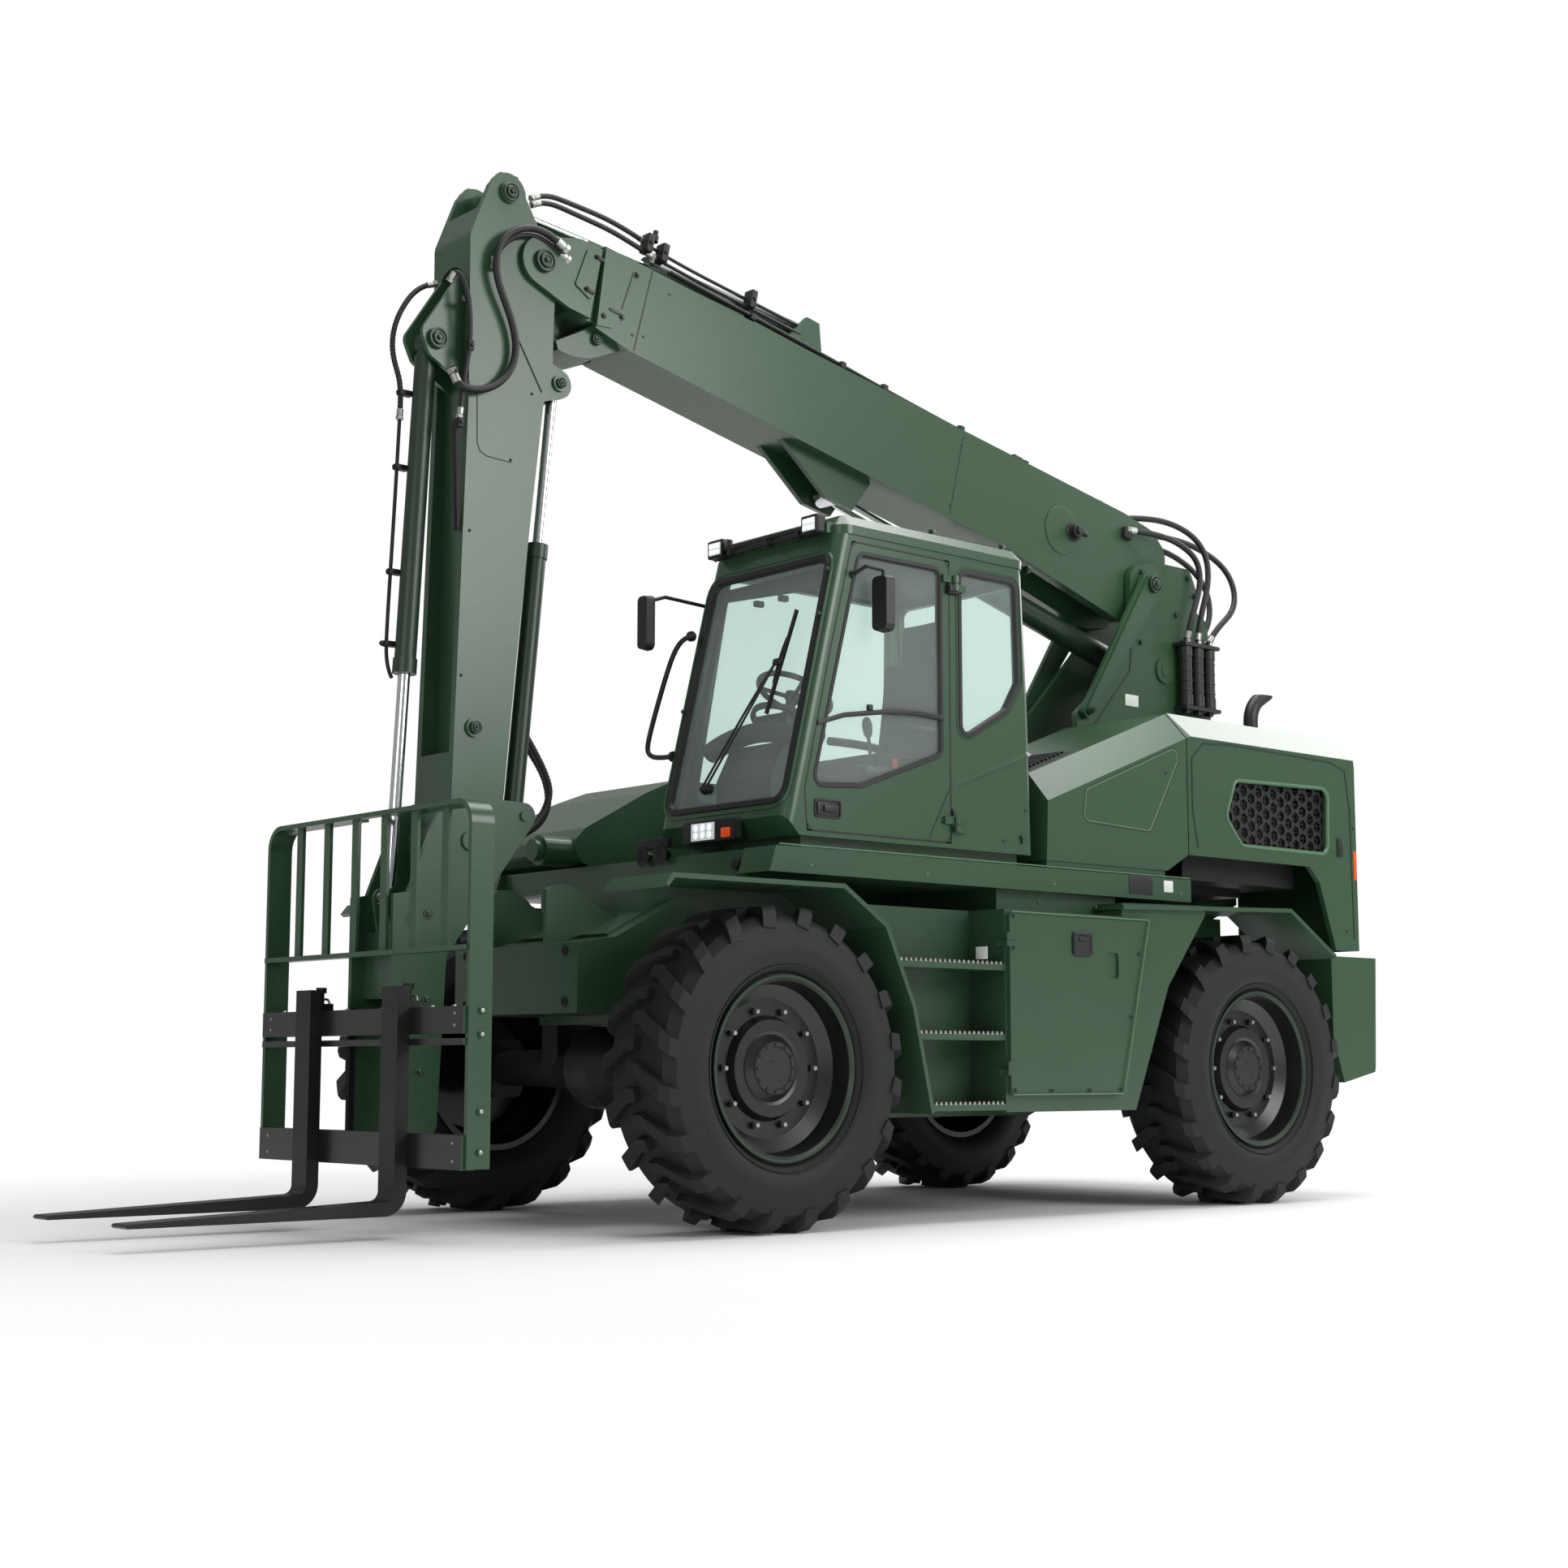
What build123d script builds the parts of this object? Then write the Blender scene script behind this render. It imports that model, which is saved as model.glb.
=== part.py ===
from build123d import *
import os
from math import radians, sin, cos, tan, pi

os.makedirs("parts", exist_ok=True)

# ---------------------------------------------------------------- driving sizes (mm)
# +X runs forward to the fork tips, +Y to the cab's side, +Z up from the ground.
front_axle_x = 1028
wheelbase = 3400
track = 2230
tyre_radius = 720
tyre_width = 470
lug_height = 36
lug_count = 20
rim_radius = 400
rim_width = 380
rim_flange = 16
hub_radius = 130
kingpin_inset = 155          # from the tyre's middle plane in to the kingpin
fit_gap = 0.3                # between pieces that seat on each other
run_gap = 6                  # between pieces that move past each other

frame_half = 420
frame_low = 930
frame_top = 1600
belly_low = 470
nose_half = 500
nose_front = 545             # ahead of the front axle
nose_low = 970
guard_y = 232
guard_plate = 24
deck_half = 1200
deck_height = 120
deck_length = 2990
rail_recess = 70
rail_width = 220
fender_half = 1335
fender_inner = 900
fender_sheet = 22
cab_inner = 270
cab_outer = 1200
cab_wall = 42
cab_rounding = 55
window_rounding = 45
cab_floor = 1775
cab_top = 3224
cab_roof_height = 96
hood_inner = 330
hood_outer = 1200
hood_sheet = 30
hood_top = 2640
hood_split = -2975           # behind the front axle, where the lid meets the fixed part

tower_half = 230
tower_plate = 40
boom_angle = 11.3
boom_half = 180
boom_wall = 20
inner_half = 150
ear_plate = 25
arm_half = 155
pin_radius = 45

foot_pivot = (-3850, 3600)   # (ahead of the front axle, height)
lift_base = (-4000, 3100)
tip_along = 4516             # from the foot pivot along the boom to the arm's pivot
tip_up = 97
arm_top_pin = (750, 4881)
arm_rear_pin = (430, 4008)
front_lug_pin = (1095, 4104)
tilt_pivot = (930, 1750)
rear_link_pin = (630, 1885)
front_link_pin = (1235, 1480)

fork_length = 1210
fork_width = 130
fork_thick = 62
fork_spread = 740
fork_face = 1447             # front face of the shanks, ahead of the front axle
fork_low = 96
carriage_half = 870


def ahead(distance):
    """World X of a place that many mm ahead of the front axle."""
    return front_axle_x + distance


def side_plane(y):
    """Upright plane at y; sketch x is world X, sketch y is height, extrude goes to -Y."""
    return Plane(origin=(0, y, 0), x_dir=(1, 0, 0), z_dir=(0, -1, 0))


def outline(points):
    """Side-view points (ahead of the front axle, height) in world places."""
    return [(ahead(x), z) for x, z in points]


def round_bar(place, direction, length, radius, bore=0):
    """Round bar, or ring with a bore, from a place along a direction."""
    with BuildSketch(Plane(origin=place, z_dir=direction)) as ring:
        Circle(radius)
        if bore:
            Circle(bore, mode=Mode.SUBTRACT)
    extrude(ring.sketch, amount=length)


def block(x_range, y_range, z_range, mode=Mode.ADD):
    """Box between two values on each axis."""
    middles = [(low + high) / 2 for low, high in (x_range, y_range, z_range)]
    with Locations(tuple(middles)):
        Box(*[high - low for low, high in (x_range, y_range, z_range)], mode=mode)


hinge_pin = 9
hinge_eye = 15
pin_fit = 0.05               # radial play of a pin in its bore

wheel_z = tyre_radius
rear_axle_x = front_axle_x - wheelbase
deck_top = frame_top + deck_height
kingpin_y = track / 2 - kingpin_inset

# corner name, axle X, side
corners = [
    ("front_left", front_axle_x, 1),
    ("front_right", front_axle_x, -1),
    ("rear_left", rear_axle_x, 1),
    ("rear_right", rear_axle_x, -1),
]

# ---------------------------------------------------------------- tyres and rims
lug_root = tyre_radius - lug_height
half_tyre = tyre_width / 2
half_rim = rim_width / 2
seat_radius = rim_radius + fit_gap
lug_step = 360 / lug_count
dish_depth = 150             # from the rim's outer edge in to its disc
disc_thick = 24
hub_reach = 70               # hub end, in from the rim's outer edge

# one left-hand wheel, made about its own centre; sketch x points outboard, sketch y up
section = Plane(origin=(0, 0, 0), x_dir=(0, 1, 0), z_dir=(1, 0, 0))
disc = half_rim - dish_depth
knuckle_half = 105
kingpin_housing = 72
kingpin_pin = 30
yoke_arm = 34

with BuildPart() as tyre_form:
    with BuildSketch(section):
        with BuildLine():
            shoulder = (half_tyre - 12, lug_root - 45)
            belly = (half_tyre, (seat_radius + lug_root) / 2 + 10)
            bead = (half_rim - 12, seat_radius + rim_flange + 4)
            Polyline((0, seat_radius), (half_rim - 14, seat_radius), bead)
            ThreePointArc(bead, (half_tyre - 9, belly[1] - 80), belly)
            Polyline(belly, shoulder, (half_tyre - 60, lug_root - 6), (0, lug_root),
                     (0, seat_radius))
        make_face()
        mirror(about=Plane.YZ)
    revolve(axis=Axis.Y)
    with BuildPart(mode=Mode.PRIVATE) as crown:
        with BuildSketch(section):
            with BuildLine():
                Polyline(
                    (-half_tyre, lug_root - 75), (half_tyre, lug_root - 75),
                    (half_tyre - 10, tyre_radius - 34), (half_tyre - 44, tyre_radius),
                    (-half_tyre + 44, tyre_radius), (-half_tyre + 10, tyre_radius - 34),
                    close=True)
            make_face()
        revolve(axis=Axis.Y)
    # one bar of the tread for each hand, from past the middle out to the shoulder
    lugs = []
    for hand in (1, -1):
        tread = Plane(origin=(0, 0, lug_root - 70), x_dir=(0, 1, 0), z_dir=(0, 0, 1))
        with BuildPart(mode=Mode.PRIVATE) as bar:
            with BuildSketch(tread):
                with BuildLine():
                    Polyline(
                        (hand * -22, 26), (hand * 40, 26), (hand * (half_tyre + 5), -92),
                        (hand * (half_tyre + 5), -168), (hand * 30, -34), (hand * -22, -34),
                        close=True)
                make_face()
            extrude(amount=150)
            add(crown.part, mode=Mode.INTERSECT)
        turn = 0 if hand > 0 else lug_step / 2
        for i in range(lug_count):
            lugs.append(bar.part.rotate(Axis.Y, turn + i * lug_step))
    add(lugs)

with BuildPart() as rim_form:
    with BuildSketch(section):
        with BuildLine():
            Polyline(
                (-half_rim, rim_radius - 14), (-half_rim, rim_radius + rim_flange),
                (-half_rim + 12, rim_radius + rim_flange), (-half_rim + 14, rim_radius),
                (half_rim - 14, rim_radius), (half_rim - 12, rim_radius + rim_flange),
                (half_rim, rim_radius + rim_flange), (half_rim, rim_radius - 14),
                (disc + 60, rim_radius - 30), (disc + disc_thick, rim_radius - 90),
                (disc + disc_thick, 235), (disc + 60, 215), (disc + 60, 165),
                (half_rim - hub_reach - 25, 150), (half_rim - hub_reach, hub_radius - 10),
                (half_rim - hub_reach, 0), (disc, 0), (disc, rim_radius - 95),
                (disc + 30, rim_radius - 48), (disc - 60, rim_radius - 16),
                close=True)
        make_face()
    revolve(axis=Axis.Y)
    # wheel nuts round the disc
    with BuildSketch(Plane(origin=(0, disc + disc_thick, 0), x_dir=(1, 0, 0), z_dir=(0, 1, 0))):
        with PolarLocations(262, 10):
            RegularPolygon(17, 6)
    extrude(amount=20)

# hub carrier: housing on the kingpin, spindle out to the wheel's disc, pins in the yoke
with BuildPart() as knuckle_form:
    with BuildSketch(Plane.XY.offset(-knuckle_half)):
        with Locations((0, -kingpin_inset)):
            Circle(kingpin_housing)
    extrude(amount=2 * knuckle_half)
    with BuildSketch(Plane(origin=(0, -kingpin_inset, 0), x_dir=(1, 0, 0), z_dir=(0, 1, 0))):
        Circle(95)
    extrude(amount=kingpin_inset + disc - fit_gap)
    with BuildSketch(Plane.XY.offset(-knuckle_half - run_gap - yoke_arm)):
        with Locations((0, -kingpin_inset)):
            Circle(kingpin_pin)
    extrude(amount=2 * (knuckle_half + run_gap + yoke_arm))

for corner, axle_x, side in corners:
    for kind, form in (("tyre", tyre_form), ("rim", rim_form), ("knuckle", knuckle_form)):
        with BuildPart() as wheel_piece:
            if side > 0:
                add(form.part.moved(Location((axle_x, track / 2, wheel_z))))
            else:
                add(form.part.mirror(Plane.XZ).moved(Location((axle_x, -track / 2, wheel_z))))
        wheel_piece.part.label = f"{kind}_{corner}"
        export_step(wheel_piece.part, f"parts/{kind}_{corner}.step")

# ---------------------------------------------------------------- axles
yoke_web_y = kingpin_y - kingpin_housing - run_gap
for axle_name, axle_x in (("front_axle", front_axle_x), ("rear_axle", rear_axle_x)):
    beam_line = Axis((axle_x, 0, wheel_z), (0, 1, 0))
    with BuildPart() as axle:
        # half of the beam and its differential, seen from the front
        with BuildSketch(Plane(origin=(axle_x, 0, wheel_z), x_dir=(0, 1, 0), z_dir=(1, 0, 0))):
            with BuildLine():
                Polyline((0, 0), (0, 195), (90, 190), (210, 120), (330, 96),
                         (yoke_web_y - 30, 88), (yoke_web_y - 30, 0), close=True)
            make_face()
            mirror(about=Plane.YZ)
        revolve(axis=beam_line)
        for side in (1, -1):
            # pads that carry the frame
            with Locations((axle_x, side * (frame_half - 90), (wheel_z + frame_low) / 2)):
                Box(200, 130, frame_low - wheel_z)
            # yoke: web and two arms round the kingpin
            web = Plane(origin=(axle_x, side * (yoke_web_y - 40), wheel_z),
                        x_dir=(1, 0, 0), z_dir=(0, side, 0))
            with BuildSketch(web):
                RectangleRounded(190, 2 * (knuckle_half + run_gap + yoke_arm), 40)
            extrude(amount=40)
            for level in (1, -1):
                arm_low = wheel_z + level * (knuckle_half + run_gap + yoke_arm / 2) - yoke_arm / 2
                with BuildSketch(Plane.XY.offset(arm_low)):
                    with Locations((axle_x, side * kingpin_y)):
                        Circle(66)
                    with Locations((axle_x, side * (yoke_web_y + kingpin_y) / 2)):
                        Rectangle(132, kingpin_y - yoke_web_y)
                    with Locations((axle_x, side * kingpin_y)):
                        Circle(kingpin_pin + 0.05, mode=Mode.SUBTRACT)
                extrude(amount=yoke_arm)
    axle.part.label = axle_name
    export_step(axle.part, f"parts/{axle_name}.step")

# ---------------------------------------------------------------- chassis frame and nose
with BuildPart() as chassis_frame:
    with BuildSketch(side_plane(0)):
        with BuildLine():
            Polyline(outline([
                (100, frame_low), (100, frame_top), (-4240, frame_top), (-4240, frame_low),
                (-2600, frame_low), (-2480, belly_low), (-860, belly_low), (-780, frame_low)]),
                close=True)
        make_face()
    extrude(amount=frame_half, both=True)
    with BuildSketch(side_plane(0)):
        with BuildLine():
            Polyline(outline([
                (nose_front, nose_low), (nose_front, 1290), (330, 1322), (-60, 1520),
                (-250, 1520), (-250, nose_low)]), close=True)
        make_face()
    extrude(amount=nose_half, both=True)
    # raised panel on the nose's slope
    with BuildSketch(side_plane(nose_half - 85)):
        with BuildLine():
            Polyline(outline([
                (300, 1320), (320, 1342), (-20, 1516), (-20, 1480)]), close=True)
        make_face()
    extrude(amount=2 * (nose_half - 85))
    # two curved guard plates either side of the arm's foot
    for side in (1, -1):
        with BuildSketch(side_plane(side * guard_y + guard_plate / 2)):
            with BuildLine():
                rise = Polyline(outline([(0, 1440), (nose_front - 5, 1280),
                                         (nose_front - 5, 1545)]))
                crest = ThreePointArc(rise @ 1, (ahead(430), 1572), (ahead(300), 1505))
                ThreePointArc(crest @ 1, (ahead(160), 1455), rise @ 0)
            make_face()
        extrude(amount=guard_plate)
chassis_frame.part.label = "chassis_frame"
export_step(chassis_frame.part, "parts/chassis_frame.step")

with BuildPart() as deck:
    with BuildSketch(side_plane(0)):
        with BuildLine():
            Polyline(outline([
                (0, frame_top + fit_gap), (-40, deck_top), (-deck_length, deck_top),
                (-deck_length, frame_top + fit_gap)]), close=True)
        make_face()
    extrude(amount=deck_half, both=True)
    # the front stands back between the two side rails
    block((ahead(-rail_recess), ahead(10)), (-deck_half + rail_width, deck_half - rail_width),
          (frame_top, deck_top + 1), mode=Mode.SUBTRACT)
deck.part.label = "deck"
export_step(deck.part, "parts/deck.step")

# ---------------------------------------------------------------- side bodies: fenders, steps, toolbox
# height of each step, and where it meets the fender
steps = ((1220, -690), (883, -822), (550, -898))
step_depth = 250
toolbox_front = -1424
toolbox_low = 510
toolbox_top = 1490
# front fender, outer face (ahead of the front axle, height)
front_arch = [(700, 1500), (660, 1548), (-340, 1552), (-610, 1380), (-785, 1010), (-905, 515)]
# rear arch of the side body and its fender
rear_arch = [(-2385, toolbox_low), (-2663, 1144), (-2978, 1525)]
rear_fender = [(-2274, 1548), (-3693, 1592), (-4100, 1350)]

door_step = 12               # from the toolbox's front corner back to its door
toolbox_hinge = (ahead(toolbox_front - door_step + 21), fender_half - 3)
toolbox_hinges = (720, 1340)
for name, side in (("side_body_left", 1), ("side_body_right", -1)):
    outer = side * fender_half
    with BuildPart() as side_body:
        # front fender, a bent sheet
        with BuildSketch(side_plane(outer if side > 0 else -fender_inner)):
            with BuildLine():
                skin = Polyline(outline(front_arch))
                offset(skin, amount=fender_sheet, side=Side.LEFT)
            make_face()
        extrude(amount=fender_half - fender_inner)
        # box behind the steps, under the deck
        with BuildSketch(side_plane(1300 if side > 0 else -frame_half - fit_gap)):
            with BuildLine():
                Polyline(outline([
                    (toolbox_front, toolbox_low), (toolbox_front, toolbox_top),
                    (-2300, toolbox_top), (-2300, 1560), (-2978, 1575),
                    rear_arch[2], rear_arch[1], rear_arch[0]]), close=True)
            make_face()
        extrude(amount=1300 - frame_half - fit_gap)
        with Locations((ahead(-2000), side * 780, (toolbox_top + frame_top) / 2)):
            Box(900, 700, frame_top - toolbox_top - 2 * fit_gap)
        # rear fender, a bent sheet
        with BuildSketch(side_plane(outer if side > 0 else -fender_inner)):
            with BuildLine():
                top = Polyline(outline(rear_fender))
                offset(top, amount=fender_sheet, side=Side.LEFT)
            make_face()
        extrude(amount=fender_half - fender_inner)
        # plate behind the steps, and the steps between fender and toolbox
        with BuildSketch(side_plane(side * (1300 - step_depth) + 15)):
            with BuildLine():
                Polyline(outline([
                    (-600, 1400), (-780, 1030), (-895, 540), (toolbox_front, 540),
                    (toolbox_front, toolbox_top), (-600, toolbox_top)]), close=True)
            make_face()
        extrude(amount=30)
        for level, step_front in steps:
            with Locations((ahead((toolbox_front + step_front) / 2),
                            side * (1300 - step_depth / 2), level - 15)):
                Box(step_front - toolbox_front, step_depth, 30)
        # hinge pins of the toolbox door, on the box's front corner
        if side > 0:
            for level in toolbox_hinges:
                block((ahead(toolbox_front), ahead(toolbox_front) + 30), (1262, 1292),
                      (level - 34, level - 4))
                block((toolbox_hinge[0] - 3, toolbox_hinge[0] + 9), (1262, toolbox_hinge[1]),
                      (level - 34, level - 4))
                round_bar((*toolbox_hinge, level - 34), (0, 0, 1), 68, hinge_pin)
                round_bar((*toolbox_hinge, level - 34), (0, 0, 1), 30, hinge_eye - 3)
    side_body.part.label = name
    export_step(side_body.part, f"parts/{name}.step")

door_gap = 8
toolbox_rear_top = -2480
toolbox_rear_low = -2250
with BuildPart() as toolbox_door:
    with BuildSketch(side_plane(1300 + fit_gap + 24)):
        with BuildLine():
            Polyline(outline([
                (toolbox_front - door_step, 590), (toolbox_front - door_step, 1480),
                (toolbox_rear_top, 1480), (toolbox_rear_low, 590)]), close=True)
        make_face()
        fillet(vertices(), 24)
    extrude(amount=24)
    for level in toolbox_hinges:
        round_bar((*toolbox_hinge, level), (0, 0, 1), 30, hinge_eye - 3, hinge_pin + pin_fit)
        block((ahead(toolbox_front - door_step - 60), toolbox_hinge[0] - hinge_pin - 1),
              (1300 + fit_gap + 20, 1300 + fit_gap + 30), (level, level + 30))
    # hand pull, a recess
    with BuildSketch(side_plane(1300 + fit_gap + 24)):
        with Locations((ahead(-2200), 1235)):
            RectangleRounded(80, 130, 20)
    extrude(amount=14, mode=Mode.SUBTRACT)
toolbox_door.part.label = "toolbox_door"
export_step(toolbox_door.part, "parts/toolbox_door.step")

with BuildPart() as counterweight:
    with BuildSketch(side_plane(0)):
        with BuildLine():
            Polyline(outline([
                (-4240 - fit_gap, 1354), (-4700, 1354), (-4716, 1330), (-4690, 805),
                (-4640, 700), (-4335, 640), (-4240 - fit_gap, 900)]), close=True)
        make_face()
    extrude(amount=1200, both=True)
    fillet(counterweight.edges().filter_by(Axis.Z, tolerance=4).group_by(Axis.X)[0], 60)
counterweight.part.label = "counterweight"
export_step(counterweight.part, "parts/counterweight.step")

# ---------------------------------------------------------------- hoods and engine
hood_width = hood_outer - hood_inner
# side outline of both hoods together (ahead of the front axle, height)
hood_low = 1760
hood_front_line = [(-1849, hood_low), (-1871, 2215), (-2990, hood_top)]
arch_line = [(-4516, 1391), (-4290, 1391), (-4150, 1770), (-4060, 1855),
             (-2975, 1855), (-2800, hood_low)]
hood_outline = hood_front_line + [(-4425, hood_top), (-4500, 2560), (-4517, 2464)] + arch_line
hood_chamfer = 140
hood_hinge = (hood_inner + 10, hood_top + 15)
hood_hinges = (-3250, -4180)

with BuildPart() as hood_mass:
    with BuildSketch(side_plane(hood_outer)):
        with BuildLine():
            Polyline(outline(hood_outline), close=True)
        make_face()
    extrude(amount=hood_width)
    upper = hood_mass.edges().group_by(Axis.Y)[-1].filter_by(
        lambda e: e.center().Z > 2300 and abs(e.tangent_at(0.5).Z) < 0.6)
    chamfer(upper, hood_chamfer, hood_chamfer)

with BuildPart() as hood_hollow:
    with BuildSketch(side_plane(hood_outer - hood_sheet)):
        with BuildLine():
            Polyline(outline([
                (-1849 - hood_sheet, 1300), (-1875 - hood_sheet, 2195), (-2990, hood_top - 34),
                (-4412, hood_top - hood_sheet), (-4485, 2450), (-4485, 1300)]), close=True)
        make_face()
    extrude(amount=hood_width - 2 * hood_sheet)
    upper = hood_hollow.edges().group_by(Axis.Y)[-1].filter_by(
        lambda e: e.center().Z > 2300 and abs(e.tangent_at(0.5).Z) < 0.6)
    chamfer(upper, hood_chamfer - 12, hood_chamfer - 12)

with BuildPart() as hood_front:
    add(hood_mass.part)
    add(hood_hollow.part, mode=Mode.SUBTRACT)
    split(bisect_by=Plane(origin=(ahead(hood_split), 0, 0), z_dir=(1, 0, 0)), keep=Keep.TOP)
    # inner wall, which carries the lid and stands on the frame
    with BuildSketch(side_plane(hood_inner + hood_sheet)):
        with BuildLine():
            Polyline(outline([
                (-2500, deck_top + fit_gap), (-2500, 2400), (-2990, 2600), (-4480, 2600),
                (-4480, 1700), (-4238, frame_top + fit_gap),
                (-2990 - fit_gap, frame_top + fit_gap),
                (-2990 - fit_gap, deck_top + fit_gap)]), close=True)
        make_face()
    extrude(amount=hood_sheet)
    # plinth on the deck
    plinth_top = hood_low + 30
    with Locations((ahead(-2325), (hood_inner + hood_outer) / 2,
                    (deck_top + fit_gap + plinth_top) / 2)):
        Box(930, hood_width - 24, plinth_top - deck_top - fit_gap)
        Box(860, hood_width - 96, plinth_top - deck_top + 10, mode=Mode.SUBTRACT)
    # hinge pins of the lid
    for hinge_x in hood_hinges:
        for step in (-42, 17):
            round_bar((ahead(hinge_x) + step, *hood_hinge), (1, 0, 0), 25, hinge_eye)
            block((ahead(hinge_x) + step, ahead(hinge_x) + step + 25),
                  (hood_inner, hood_inner + hood_sheet - 5), (2580, hood_hinge[1]))
        round_bar((ahead(hinge_x) - 42, *hood_hinge), (1, 0, 0), 84, hinge_pin)
hood_front.part.label = "hood_front"
export_step(hood_front.part, "parts/hood_front.step")

grille_line = [(-3405, 2285), (-4245, 2305), (-4230, 1945), (-3450, 1945), (-3320, 2085)]
with BuildPart() as hood_rear:
    add(hood_mass.part)
    add(hood_hollow.part, mode=Mode.SUBTRACT)
    split(bisect_by=Plane(origin=(ahead(hood_split - door_gap), 0, 0), z_dir=(1, 0, 0)),
          keep=Keep.BOTTOM)
    # the inner wall belongs to the fixed hood
    with Locations((ahead(-3800), hood_inner, 1950)):
        Box(1800, 2 * (hood_sheet + run_gap), 1330, mode=Mode.SUBTRACT)
    with BuildSketch(side_plane(hood_outer + 1)):
        with BuildLine():
            Polyline(outline(grille_line), close=True)
        make_face()
    extrude(amount=hood_sheet + 2, mode=Mode.SUBTRACT)
    for hinge_x in hood_hinges:
        # notch for the fixed leaf, then the lid's own eye
        block((ahead(hinge_x) - 48, ahead(hinge_x) + 48),
              (hood_inner - 30, hood_inner + hood_sheet + run_gap), (hood_top - 80, hood_top + 60),
              mode=Mode.SUBTRACT)
        round_bar((ahead(hinge_x) - 12, *hood_hinge), (1, 0, 0), 24, hinge_eye, hinge_pin + pin_fit)
        block((ahead(hinge_x) - 12, ahead(hinge_x) + 12),
              (hood_hinge[0] + hinge_eye - 4, hood_inner + 130), (hood_top - 6, hood_top + 8))
hood_rear.part.label = "hood_rear"
export_step(hood_rear.part, "parts/hood_rear.step")

# honeycomb grille in the lid's side
cell = 78
cell_hole = 33
with BuildPart() as hood_grille:
    with BuildSketch(side_plane(hood_outer - hood_sheet - fit_gap)):
        with BuildLine():
            rim_line = Polyline(outline(grille_line), close=True)
        make_face()
        offset(amount=16, kind=Kind.INTERSECTION)
        with BuildSketch(mode=Mode.PRIVATE) as openings:
            with Locations((ahead(-3810), 2110)):
                with HexLocations(cell / 2, 14, 6):
                    RegularPolygon(cell_hole, 6, rotation=30)
        with BuildSketch(mode=Mode.PRIVATE) as clear_area:
            with BuildLine():
                Polyline(outline(grille_line), close=True)
            make_face()
        add(openings.sketch & clear_area.sketch, mode=Mode.SUBTRACT)
    extrude(amount=10)
hood_grille.part.label = "hood_grille"
export_step(hood_grille.part, "parts/hood_grille.step")

with BuildPart() as engine_block:
    with Locations((ahead(-3620), 720, 2050)):
        Box(1000, 640, 620)
    with Locations((ahead(-3620), (frame_half + 400) / 2 - 20, (frame_top + 1740) / 2)):
        Box(800, 40, 1740 - frame_top - 2 * fit_gap)
    with Locations((ahead(-3620), 560, 1730)):
        Box(800, 360, 60)
engine_block.part.label = "engine_block"
export_step(engine_block.part, "parts/engine_block.step")

exhaust_x, exhaust_y = -4080, 800
exhaust_radius = 42
exhaust_rise, exhaust_height = 90, 258
bend_radius, bend_turn = 160, radians(60)
pipe_low = (ahead(exhaust_x), hood_top + fit_gap)
bend_low = (pipe_low[0], pipe_low[1] + exhaust_rise)


def on_bend(turn):
    """Point of the exhaust's bend after a turn from the upright."""
    return (bend_low[0] - bend_radius * (1 - cos(turn)), bend_low[1] + bend_radius * sin(turn))


with BuildPart() as exhaust_stack:
    round_bar((pipe_low[0], exhaust_y, pipe_low[1]), (0, 0, 1), 24, exhaust_radius + 26)
    with BuildLine(side_plane(exhaust_y)):
        Line(pipe_low, bend_low)
        ThreePointArc(bend_low, on_bend(bend_turn / 2), on_bend(bend_turn))
        Line(on_bend(bend_turn),
             (on_bend(bend_turn)[0] - exhaust_rise * sin(bend_turn),
              on_bend(bend_turn)[1] + exhaust_rise * cos(bend_turn)))
    with BuildSketch(Plane(origin=(pipe_low[0], exhaust_y, pipe_low[1]), z_dir=(0, 0, 1))):
        Circle(exhaust_radius)
        Circle(exhaust_radius - 5, mode=Mode.SUBTRACT)
    sweep()
    # mouth cut level
    block((pipe_low[0] - 400, pipe_low[0] + 200), (exhaust_y - 200, exhaust_y + 200),
          (pipe_low[1] + exhaust_height, pipe_low[1] + exhaust_height + 300), mode=Mode.SUBTRACT)
exhaust_stack.part.label = "exhaust_stack"
export_step(exhaust_stack.part, "parts/exhaust_stack.step")

cover_inner = 350
with BuildPart() as right_cover:
    with BuildSketch(side_plane(-cover_inner)):
        with BuildLine():
            Polyline(outline([
                (-170, deck_top + fit_gap), (-95, 1752), (-50, 1810), (-62, 1868),
                (-120, 1925), (-511, 2136), (-700, 2215), (-4400, 2240), (-4500, 2120), (-4516, 1391), (-4352, 1391),
                (-4150, 1770), (-4060, 1855), (-2990, 1855), (-2990, deck_top + fit_gap)]),
                close=True)
        make_face()
        nosing = vertices().filter_by(lambda v: v.X > ahead(-130) and v.Y > deck_top + 5)
        fillet(nosing, 20)
    extrude(amount=hood_outer - cover_inner)
    top_edge = right_cover.edges().group_by(Axis.Y)[0].sort_by(Edge.length)[-1]
    chamfer(top_edge, 60)
    # hydraulic coupling that reaches out of the front
    for reach, radius in ((210, 76), (250, 66), (330, 76), (372, 54)):
        round_bar((ahead(-140), -cover_inner - 85, 1802), (1, 0, 0), reach - 80, radius)
    # foot on the frame behind the deck
    with Locations((ahead(-3600), -(cover_inner + frame_half) / 2, (frame_top + 1900) / 2)):
        Box(1100, frame_half - cover_inner, 1900 - frame_top - 2 * fit_gap)
right_cover.part.label = "right_cover"
export_step(right_cover.part, "parts/right_cover.step")

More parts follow.
